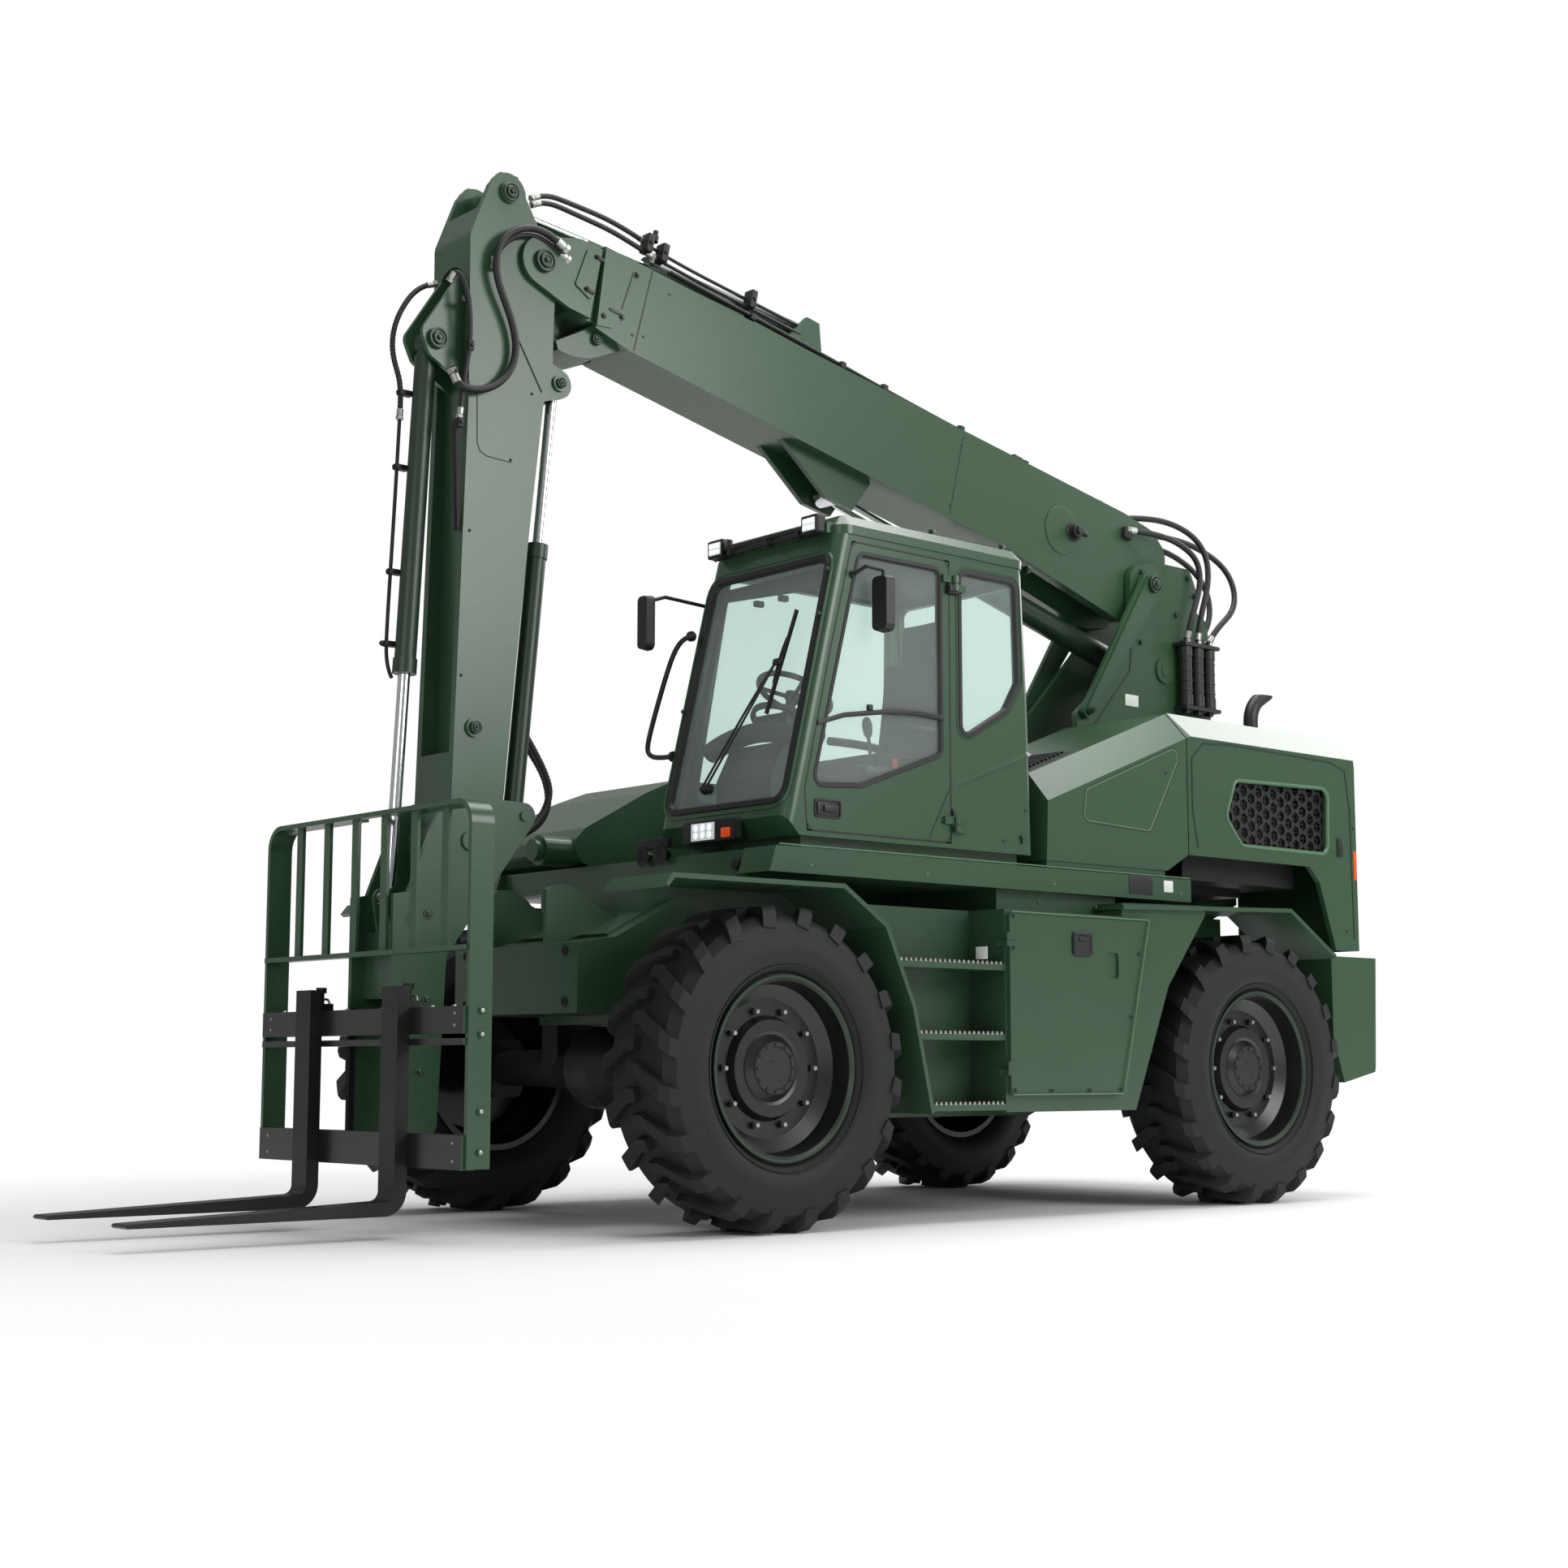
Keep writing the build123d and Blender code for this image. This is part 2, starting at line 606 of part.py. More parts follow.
# ---------------------------------------------------------------- tower
# corner of the side plate (ahead of the front axle, height), its rounding
tower_corners = [
    (-3220, frame_top + fit_gap, 0), (-3225, 2560, 60), (-3195, 2760, 45), (-3290, 2835, 45),
    (-3700, 3250, 120), (-3700, 3700, 110), (-3960, 3760, 60), (-4262, 3760, 60),
    (-4345, 3600, 50), (-4310, 3500, 40), (-4425, 3450, 60), (-4440, 3100, 160),
    (-4440, 2780, 120), (-4240, 2420, 160), (-4200, frame_top + fit_gap, 0)]
with BuildPart() as tower:
    for side in (1, -1):
        with BuildSketch(side_plane(tower_half if side > 0 else -tower_half + tower_plate)):
            with BuildLine():
                Polyline([(ahead(x), z) for x, z, _ in tower_corners], close=True)
            make_face()
            for x, z, rounding in tower_corners:
                if rounding:
                    corner_point = vertices().sort_by_distance((ahead(x), z, 0))[0]
                    fillet(corner_point, rounding)
        extrude(amount=tower_plate)
    # cross walls that join the two plates, clear of the cylinder between them
    with Locations((ahead(-3240), 0, 2050)):
        Box(30, 2 * tower_half, 860)
    with Locations((ahead(-4200), 0, 2150)):
        Box(30, 2 * tower_half, 900)
    with Locations((ahead(-4395), 0, 3300)):
        Box(30, 2 * tower_half - 2, 200)
    # pins of the boom and of the lift cylinder
    for place, radius in ((foot_pivot, pin_radius), (lift_base, 38)):
        with BuildSketch(side_plane(tower_half + 16)):
            with Locations((ahead(place[0]), place[1])):
                Circle(radius)
        extrude(amount=2 * tower_half + 32)
        for side in (1, -1):
            with BuildSketch(side_plane(tower_half + 12 if side > 0 else -tower_half)):
                with Locations((ahead(place[0]), place[1])):
                    Circle(radius + 42)
            extrude(amount=12)
tower.part.label = "tower"
export_step(tower.part, "parts/tower.step")

# ---------------------------------------------------------------- cab
cab_outline = [(-96, 1863), (-180, cab_floor), (-1765, cab_floor), (-1745, 2573),
               (-1711, cab_top), (-437, cab_top)]
cab_mid = (cab_inner + cab_outer) / 2
cab_width = cab_outer - cab_inner
door_line = [(-218, 1990), (-232, 1805), (-1160, 1805), (-1160, 3185), (-520, 3185),
             (-370, 2620)]
door_window = [(-262, 2010), (-572, 2030), (-1105, 2225), (-1105, 3140), (-560, 3140),
               (-420, 2610)]
quarter_window = [(-1240, 2310), (-1240, 3150), (-1640, 3150), (-1655, 2640), (-1560, 2490)]
right_window = [(-300, 2010), (-1600, 2010), (-1620, 3150), (-520, 3150)]
cab_hinge = (ahead(-1185), cab_outer + 25)
cab_hinges = (1890, 3080)
wind_low, wind_high = 1935, 3100
rear_low, rear_high = 2250, 3140
pillar = 52

with BuildPart() as cab_body:
    with BuildSketch(side_plane(cab_outer)):
        with BuildLine():
            Polyline(outline(cab_outline), close=True)
        make_face()
    extrude(amount=cab_width)
    corner_posts = cab_body.edges().filter_by(
        lambda e: abs(e.tangent_at(0.5).Z) > 0.9 and e.length > 700)
    fillet(corner_posts, cab_rounding)
    with BuildSketch(side_plane(cab_outer - cab_wall)):
        with BuildLine():
            Polyline(outline(cab_outline), close=True)
        make_face()
        offset(amount=-cab_wall, kind=Kind.INTERSECTION)
    extrude(amount=cab_width - 2 * cab_wall, mode=Mode.SUBTRACT)
    # door opening and side windows
    with BuildSketch(side_plane(cab_outer + 1)):
        with BuildLine():
            Polyline(outline(door_line), close=True)
        make_face()
        offset(amount=door_gap, kind=Kind.INTERSECTION)
    extrude(amount=cab_wall + 2, mode=Mode.SUBTRACT)
    with BuildSketch(side_plane(cab_outer + 1)):
        with BuildLine():
            Polyline(outline(quarter_window), close=True)
        make_face()
        fillet(vertices(), window_rounding)
    extrude(amount=cab_wall + 2, mode=Mode.SUBTRACT)
    with BuildSketch(side_plane(cab_inner + cab_wall + 1)):
        with BuildLine():
            Polyline(outline(right_window), close=True)
        make_face()
        fillet(vertices(), window_rounding)
    extrude(amount=cab_wall + 2, mode=Mode.SUBTRACT)
    # windscreen and rear window
    front_and_rear = Plane(origin=(ahead(-970), cab_mid, 0), x_dir=(0, 1, 0), z_dir=(1, 0, 0))
    for low, high, reach in ((wind_low, wind_high, 1000), (rear_low, rear_high, -1000)):
        with BuildSketch(front_and_rear.offset(reach * 0.5)):
            with Locations((0, (low + high) / 2)):
                RectangleRounded(cab_width - 2 * pillar, high - low, window_rounding)
        extrude(amount=reach * 0.5, mode=Mode.SUBTRACT)
    # hinge pins of the door
    for level in cab_hinges:
        round_bar((*cab_hinge, level - 40), (0, 0, 1), 80, hinge_pin)
        round_bar((*cab_hinge, level - 40), (0, 0, 1), 34, hinge_eye)
        block((cab_hinge[0] - 75, cab_hinge[0]), (cab_outer - 10, cab_outer + 22),
              (level - 40, level - 6))
    # rubber-mounted floor pan
    with Locations((ahead(-970), cab_mid, (deck_top + cab_floor) / 2 + 6)):
        Box(1450, cab_width - 130, cab_floor - deck_top + 12 - 2 * fit_gap)
cab_body.part.label = "cab_body"
export_step(cab_body.part, "parts/cab_body.step")

with BuildPart() as cab_roof:
    with BuildSketch(Plane.XY.offset(cab_top + fit_gap)):
        with Locations((ahead(-1082), cab_mid)):
            RectangleRounded(1282, cab_width + 16, 70)
    extrude(amount=cab_roof_height * 0.45)
    with BuildSketch(Plane.XY.offset(cab_top + fit_gap + cab_roof_height * 0.45)):
        with Locations((ahead(-1082), cab_mid)):
            RectangleRounded(1282, cab_width + 16, 70)
    extrude(amount=cab_roof_height * 0.55, taper=42)
    # lamp bar over the windscreen
    with Locations((ahead(-440), cab_mid, cab_top + 30)):
        Box(60, cab_width - 120, 50)
cab_roof.part.label = "cab_roof"
export_step(cab_roof.part, "parts/cab_roof.step")

glass = 8
front_lean = Plane(origin=(ahead(-96), cab_mid, 1863), x_dir=(0, 1, 0),
                   z_dir=(cab_top - 1863, 0, 437 - 96))
lean_length = ((cab_top - 1863) ** 2 + (437 - 96) ** 2) ** 0.5
lean_low = (wind_low - 1863) * lean_length / (cab_top - 1863)
lean_high = (wind_high - 1863) * lean_length / (cab_top - 1863)
with BuildPart() as cab_glass:
    with BuildSketch(front_lean.offset(-20)):
        with Locations((0, (lean_low + lean_high) / 2)):
            RectangleRounded(cab_width - 2 * pillar - 1, lean_high - lean_low - 12,
                             window_rounding)
    extrude(amount=glass)
    with BuildSketch(side_plane(cab_outer - 14)):
        with BuildLine():
            Polyline(outline(quarter_window), close=True)
        make_face()
        fillet(vertices(), window_rounding)
        offset(amount=-fit_gap)
    extrude(amount=glass)
    with BuildSketch(side_plane(cab_inner + 22)):
        with BuildLine():
            Polyline(outline(right_window), close=True)
        make_face()
        fillet(vertices(), window_rounding)
        offset(amount=-fit_gap)
    extrude(amount=glass)
    with BuildSketch(Plane(origin=(ahead(-1717) - glass / 2, cab_mid, (rear_low + rear_high) / 2),
                           x_dir=(0, 1, 0), z_dir=(1, 0, 0))):
        RectangleRounded(cab_width - 2 * pillar - 2 * fit_gap, rear_high - rear_low - 2 * fit_gap,
                         window_rounding)
    extrude(amount=glass)
cab_glass.part.label = "cab_glass"
export_step(cab_glass.part, "parts/cab_glass.step")

with BuildPart() as cab_door:
    with BuildSketch(side_plane(cab_outer)):
        with BuildLine():
            Polyline(outline(door_line), close=True)
        make_face()
        with BuildLine():
            Polyline(outline(door_window), close=True)
        make_face(mode=Mode.SUBTRACT)
        corners_of_window = vertices().filter_by(
            lambda v: min(abs(v.X - ahead(x)) + abs(v.Y - z) for x, z in door_window) < 1)
        fillet(corners_of_window, window_rounding)
    extrude(amount=cab_wall - 2)
    for level in cab_hinges:
        round_bar((*cab_hinge, level), (0, 0, 1), 36, hinge_eye, hinge_pin + pin_fit)
        block((cab_hinge[0] + hinge_pin + 1, ahead(-1110)), (cab_outer + 7, cab_outer + 18),
              (level, level + 36))
        block((ahead(-1156), ahead(-1110)), (cab_outer - 5, cab_outer + 18),
              (level, level + 36))
cab_door.part.label = "cab_door"
export_step(cab_door.part, "parts/cab_door.step")

with BuildPart() as door_glass:
    with BuildSketch(side_plane(cab_outer - 12)):
        with BuildLine():
            Polyline(outline(door_window), close=True)
        make_face()
        fillet(vertices(), window_rounding)
        offset(amount=-fit_gap)
    extrude(amount=glass)
door_glass.part.label = "door_glass"
export_step(door_glass.part, "parts/door_glass.step")

floor_inside = cab_floor + cab_wall
seat_x = -1150
with BuildPart() as seat_base:
    with Locations((ahead(seat_x), cab_mid, floor_inside + fit_gap + 151)):
        Box(380, 400, 302)
    with Locations((ahead(seat_x), cab_mid, floor_inside + 310)):
        Box(460, 470, 20)
seat_base.part.label = "seat_base"
export_step(seat_base.part, "parts/seat_base.step")

cushion_low = floor_inside + 320 + fit_gap
with BuildPart() as seat_cushion:
    with Locations((ahead(seat_x + 10), cab_mid, cushion_low + 60)):
        Box(480, 490, 120)
    with BuildSketch(side_plane(cab_mid + 235)):
        with BuildLine():
            Polyline(outline([
                (seat_x - 150, cushion_low + 120), (seat_x - 260, cushion_low + 60),
                (seat_x - 330, cushion_low + 640), (seat_x - 225, cushion_low + 650)]),
                close=True)
        make_face()
    extrude(amount=470)
    with BuildSketch(side_plane(cab_mid + 130)):
        with BuildLine():
            Polyline(outline([
                (seat_x - 240, cushion_low + 640), (seat_x - 325, cushion_low + 630),
                (seat_x - 345, cushion_low + 850), (seat_x - 265, cushion_low + 855)]),
                close=True)
        make_face()
    extrude(amount=260)
seat_cushion.part.label = "seat_cushion"
export_step(seat_cushion.part, "parts/seat_cushion.step")

with BuildPart() as cab_console:
    with BuildSketch(side_plane(cab_mid + 200)):
        with BuildLine():
            Polyline(outline([
                (-240, floor_inside + fit_gap), (-240, 2080), (-330, 2250), (-470, 2270),
                (-470, 2180), (-420, floor_inside + fit_gap)]), close=True)
        make_face()
    extrude(amount=400)
    column = Plane(origin=(ahead(-440), cab_mid, 2200), x_dir=(0, 1, 0), z_dir=(-0.45, 0, 0.9))
    with BuildSketch(column):
        Circle(35)
    extrude(amount=190)
    with BuildSketch(column.offset(170)):
        Circle(190)
        Circle(168, mode=Mode.SUBTRACT)
        Rectangle(350, 34)
    extrude(amount=24)
cab_console.part.label = "cab_console"
export_step(cab_console.part, "parts/cab_console.step")

headlamp_y = 700
# right mirror, its stay reaches forward from the cab's corner post
mirror_height = 270
mirror_y = cab_inner - 22
mirror_foot = -470           # on the corner post, beside the window
with BuildPart() as cab_mirror:
    round_bar((ahead(mirror_foot), cab_inner - fit_gap, 3005), (0, -1, 0), 34, 11)
    with BuildLine():
        stay = Polyline((ahead(mirror_foot), cab_inner - 26, 3005),
                        (ahead(-150), cab_inner - 26, 3020),
                        (ahead(-62), mirror_y, 2990), (ahead(-46), mirror_y, 2900))
    with BuildSketch(Plane(origin=stay @ 0, z_dir=stay % 0)):
        Circle(9)
    sweep(transition=Transition.ROUND)
    with BuildSketch(Plane(origin=(ahead(-52), mirror_y, 2875), x_dir=(0, 1, 0), z_dir=(1, 0, 0))):
        RectangleRounded(84, mirror_height, 30)
    extrude(amount=48, taper=6)
cab_mirror.part.label = "cab_mirror"
export_step(cab_mirror.part, "parts/cab_mirror.step")

# left mirror, carried by the door's upper front corner
door_mirror_y = cab_outer + 82
with BuildPart() as door_mirror:
    round_bar((ahead(-515), cab_outer + fit_gap, 3030), (0, 1, 0), 12, 16)
    with BuildLine():
        stay = Polyline((ahead(-515), cab_outer + 10, 3030), (ahead(-530), door_mirror_y, 3060),
                        (ahead(-640), door_mirror_y, 3055), (ahead(-640), door_mirror_y, 2960))
    with BuildSketch(Plane(origin=stay @ 0, z_dir=stay % 0)):
        Circle(9)
    sweep(transition=Transition.ROUND)
    with BuildSketch(Plane(origin=(ahead(-664), door_mirror_y, 2895), x_dir=(0, 1, 0),
                           z_dir=(1, 0, 0))):
        RectangleRounded(110, mirror_height, 34)
    extrude(amount=52, taper=6)
door_mirror.part.label = "door_mirror"
export_step(door_mirror.part, "parts/door_mirror.step")

# work lamps on the roof bar, and one housing with lamp and indicator under the windscreen
with BuildPart() as lamps:
    for lamp_y in (cab_inner + 105, cab_outer - 130):
        with BuildSketch(Plane(origin=(ahead(-410) + fit_gap, lamp_y, cab_top + 46),
                               x_dir=(0, 1, 0), z_dir=(1, 0, 0))):
            RectangleRounded(118, 92, 12)
        extrude(amount=46)
        for fin in range(5):
            block((ahead(-410) + fit_gap + 2, ahead(-395)),
                  (lamp_y - 50 + fin * 22, lamp_y - 42 + fin * 22),
                  (cab_top - 4, cab_top + 96))
    with BuildSketch(Plane(origin=(ahead(-96) + fit_gap, headlamp_y, 1822), x_dir=(0, 1, 0),
                           z_dir=(1, 0, 0))):
        RectangleRounded(390, 112, 22)
    extrude(amount=34, taper=8)
    block((ahead(-140), ahead(-90)), (headlamp_y - 180, headlamp_y + 180), (1800, 1846),
          mode=Mode.SUBTRACT)
lamps.part.label = "lamps"
export_step(lamps.part, "parts/lamps.step")

# ---------------------------------------------------------------- tower fittings
with BuildPart() as valve_block:
    for level in (2880, 3270):
        with Locations((ahead(-4250), tower_half + 50, level)):
            Box(330, 100 - 2 * fit_gap, 22)
    for i in range(3):
        with BuildSketch(Plane.XY.offset(2880)):
            with Locations((ahead(-4360 + i * 110), tower_half + 50)):
                Circle(40)
        extrude(amount=390)
valve_block.part.label = "valve_block"
export_step(valve_block.part, "parts/valve_block.step")

brace_foot = (-3262, 2778)
brace_plate = 26
with BuildPart() as tower_braces:
    for side in (1, -1):
        for start, plate, top_radius, foot_radius in ((tower_half + 16 + fit_gap, brace_plate, 88, 46),
                                                      (tower_half + 30, brace_plate, 62, 28)):
            with BuildSketch(side_plane(start + plate if side > 0 else -start)):
                with Locations((ahead(foot_pivot[0]), foot_pivot[1])):
                    Circle(top_radius)
                with Locations((ahead(brace_foot[0]), brace_foot[1])):
                    Circle(foot_radius)
                make_hull()
            extrude(amount=plate)
        # spacer on the side plate's lug
        round_bar((ahead(brace_foot[0]), side * (tower_half + fit_gap), brace_foot[1]), (0, side, 0),
            20, 40)
tower_braces.part.label = "tower_braces"
export_step(tower_braces.part, "parts/tower_braces.step")

# ---------------------------------------------------------------- boom
slope = radians(boom_angle)
boom_plane = Plane(origin=(ahead(foot_pivot[0]), 0, foot_pivot[1]),
                   x_dir=(cos(slope), 0, sin(slope)), z_dir=(0, -1, 0))


def boom_side(y):
    """Plane at y in the boom's own directions: sketch x along it, sketch y up from it."""
    return Plane(origin=(ahead(foot_pivot[0]), y, foot_pivot[1]),
                 x_dir=(cos(slope), 0, sin(slope)), z_dir=(0, -1, 0))


def on_boom(along, up):
    """(ahead of the front axle, height) of a place given along and up from the boom."""
    return (foot_pivot[0] + along * cos(slope) - up * sin(slope),
            foot_pivot[1] + along * sin(slope) + up * cos(slope))


arm_pivot = on_boom(tip_along, tip_up)
boom_front = 4185
inner_low = -66
inner_high = 306
inner_rear = 1700
lift_pin_along = (2380, -275)
lift_pin = on_boom(*lift_pin_along)
carrier_low = 352
arm_base_along = (2738, 534)
arm_base = on_boom(*arm_base_along)
pipe_radius = 15
lift_room = 112              # half the gap between the boom's walls over the lift cylinder
lift_room_top = [(-330, -78), (600, -82), (1330, -142)]
pad_length = 150             # wear pads at the mouth, inside the tube
pad_depth = 20
pad_back = 130               # from the mouth back to the pads' middle
shoe_half = 132              # outer faces of the shoe's cheeks
shoe_cheek = 22
shoe_root = (3925, -100)     # where a cheek leaves the tube's underside
shoe_low = (4075, -205)
shoe_belly = (boom_front + 20, -262)
shoe_tip_low = (boom_front + 128, -268)
shoe_tip_high = (boom_front + 150, -232)
shoe_pin = (4110, -128)
pan_front = (boom_front + 118, -226)
pan_middle = (boom_front + 12, -238)
pan_rear = (4080, -182)
pipe_up = 412
pipe_y = 45
pipe_end = 2656

with BuildPart() as boom_outer:
    with BuildSketch(boom_plane):
        with BuildLine():
            Polyline((-150, -90), (-205, 120), (-195, 290), (-60, 385), (219, 403),
                     (boom_front, 336), (boom_front - 30, -95), (3940, -126), (1165, -166),
                     (143, -263), (-60, -200), close=True)
        make_face()
        for place, rounding in (((-205, 120), 60), ((-195, 290), 110), ((-60, 385), 150),
                                ((143, -263), 90), ((-60, -200), 50), ((-150, -90), 30)):
            fillet(vertices().sort_by_distance((*place, 0))[0], rounding)
    extrude(amount=boom_half, both=True)
    # room between the side walls for the lift cylinder
    with BuildSketch(boom_plane):
        with BuildLine():
            Polyline(lift_room_top, (lift_room_top[-1][0], -420),
                     (lift_room_top[0][0], -420), close=True)
        make_face()
    extrude(amount=lift_room, both=True, mode=Mode.SUBTRACT)
    with BuildSketch(boom_plane):
        with Locations(((inner_rear + boom_front) / 2, (inner_low + inner_high) / 2)):
            Rectangle(boom_front - inner_rear + 120, inner_high - inner_low + 2 * run_gap)
    extrude(amount=inner_half + run_gap, both=True, mode=Mode.SUBTRACT)
    with BuildSketch(boom_plane):
        Circle(pin_radius + 0.05)
    extrude(amount=boom_half + 1, both=True, mode=Mode.SUBTRACT)
    # bracket of the lift cylinder, two ears
    for side in (1, -1):
        with BuildSketch(boom_side(side * 90 + 15)):
            with BuildLine():
                Polyline((2180, -140), (2880, -120), (2480, -340), (2280, -340), close=True)
            make_face()
        extrude(amount=30)
    # shoe under the front end: side cheeks and a curved pan between them
    for face_y in (shoe_half, shoe_cheek - shoe_half):
        with BuildSketch(boom_side(face_y)):
            with BuildLine():
                Polyline(shoe_root, (boom_front - 36, -80), shoe_tip_high, shoe_tip_low)
                ThreePointArc(shoe_tip_low, shoe_belly, shoe_low)
                Line(shoe_low, shoe_root)
            make_face()
        extrude(amount=shoe_cheek)
    with BuildSketch(boom_side(shoe_half - shoe_cheek)):
        with BuildLine():
            Polyline(shoe_tip_low, shoe_tip_high, pan_front)
            ThreePointArc(pan_front, pan_middle, pan_rear)
            Line(pan_rear, (pan_rear[0] - 14, pan_rear[1] - 18))
            ThreePointArc((pan_rear[0] - 14, pan_rear[1] - 18), shoe_belly, shoe_tip_low)
        make_face()
    extrude(amount=2 * (shoe_half - shoe_cheek))
    # pin head on each cheek
    for side in (1, -1):
        round_bar(boom_plane.from_local_coords((*shoe_pin, -side * shoe_half)),
                  (0, side, 0), 14, 24)
    # reinforced end of the tube
    for side in (1, -1):
        with BuildSketch(boom_side(boom_half + 7 if side > 0 else -boom_half)):
            with BuildLine():
                Polyline((boom_front - 2, 330), (boom_front - 200, 338), (boom_front - 172, 20),
                         (boom_front - 120, -60), (boom_front - 30, -84), close=True)
            make_face()
        extrude(amount=7)
    # wear pads that carry the inner section at the mouth, on four sides
    for face_y in (inner_half + pad_depth, -inner_half - fit_gap):
        with BuildSketch(boom_side(face_y)):
            with Locations((boom_front - pad_back, (inner_low + inner_high) / 2)):
                Rectangle(pad_length, inner_high - inner_low - 50)
        extrude(amount=pad_depth - fit_gap)
    for pad_up in (inner_low - fit_gap - pad_depth / 2, inner_high + fit_gap + pad_depth / 2):
        with BuildSketch(boom_side(inner_half - 30)):
            with Locations((boom_front - pad_back, pad_up)):
                Rectangle(pad_length, pad_depth)
        extrude(amount=2 * (inner_half - 30))
    # clamps that guide the pipes
    with BuildSketch(boom_plane):
        for along in (1300, 2150):
            with Locations((along, pipe_up - 25)):
                Rectangle(40, 110)
    extrude(amount=80, both=True)
    with BuildSketch(Plane(origin=boom_plane.from_local_coords((0, pipe_up, 0)),
                           x_dir=(0, 1, 0), z_dir=boom_plane.x_dir)):
        with Locations((pipe_y, 0), (-pipe_y, 0)):
            Circle(pipe_radius + 1)
    extrude(amount=3000, mode=Mode.SUBTRACT)
boom_outer.part.label = "boom_outer"
export_step(boom_outer.part, "parts/boom_outer.step")

head_half = 185
with BuildPart() as boom_inner:
    with BuildSketch(boom_plane):
        with Locations(((inner_rear + boom_front + 20) / 2, (inner_low + inner_high) / 2)):
            Rectangle(boom_front + 20 - inner_rear, inner_high - inner_low)
    extrude(amount=inner_half, both=True)
    with BuildSketch(boom_plane):
        with BuildLine():
            Polyline((boom_front + 15, inner_low), (boom_front + 125, inner_low),
                     (boom_front + 125, 150), (boom_front + 60, inner_high - 30),
                     (boom_front + 15, inner_high), close=True)
        make_face()
    extrude(amount=head_half, both=True)
    # raised cover on each side of the head
    for side in (1, -1):
        with BuildSketch(boom_side(head_half + 8 if side > 0 else -head_half)):
            with BuildLine():
                Polyline((boom_front + 18, 285), (boom_front + 104, 268), (boom_front + 138, 62),
                         (boom_front + 34, 22), close=True)
            make_face()
            fillet(vertices(), 10)
        extrude(amount=8)
    for side in (1, -1):
        with BuildSketch(boom_side(head_half if side > 0 else -head_half + ear_plate)):
            with Locations((tip_along, tip_up)):
                Circle(122)
            with Locations((boom_front + 80, (inner_low + inner_high) / 2)):
                Rectangle(130, inner_high - inner_low)
            make_hull()
            with Locations((tip_along, tip_up)):
                Circle(pin_radius + 0.05, mode=Mode.SUBTRACT)
        extrude(amount=ear_plate)
        # rail of the arm cylinder's carrier, over the outer tube
        with BuildSketch(boom_side(side * 78 + 14)):
            with BuildLine():
                Polyline((2640, carrier_low + 38), (boom_front + 20, carrier_low),
                         (boom_front + 20, inner_high - 16), (boom_front + 62, inner_high - 44),
                         (boom_front + 72, carrier_low - 24), (boom_front + 46, carrier_low + 18),
                         (2900, carrier_low + 75), (2790, 590), (2700, 590), close=True)
            make_face()
        extrude(amount=28)
    # cross plate that holds the pipes
    with BuildSketch(boom_side(80)):
        with Locations((pipe_end + 10, pipe_up)):
            Rectangle(20, 36)
    extrude(amount=160)
    # pin of the arm's cylinder
    with BuildSketch(boom_side(92)):
        with Locations(arm_base_along):
            Circle(24)
    extrude(amount=184)
boom_inner.part.label = "boom_inner"
export_step(boom_inner.part, "parts/boom_inner.step")

with BuildPart() as boom_pipes:
    with BuildSketch(Plane(origin=boom_plane.from_local_coords((900, pipe_up, 0)),
                           x_dir=(0, 1, 0), z_dir=boom_plane.x_dir)):
        with Locations((pipe_y, 0), (-pipe_y, 0)):
            Circle(pipe_radius)
    extrude(amount=pipe_end - fit_gap - 900)
boom_pipes.part.label = "boom_pipes"
export_step(boom_pipes.part, "parts/boom_pipes.step")

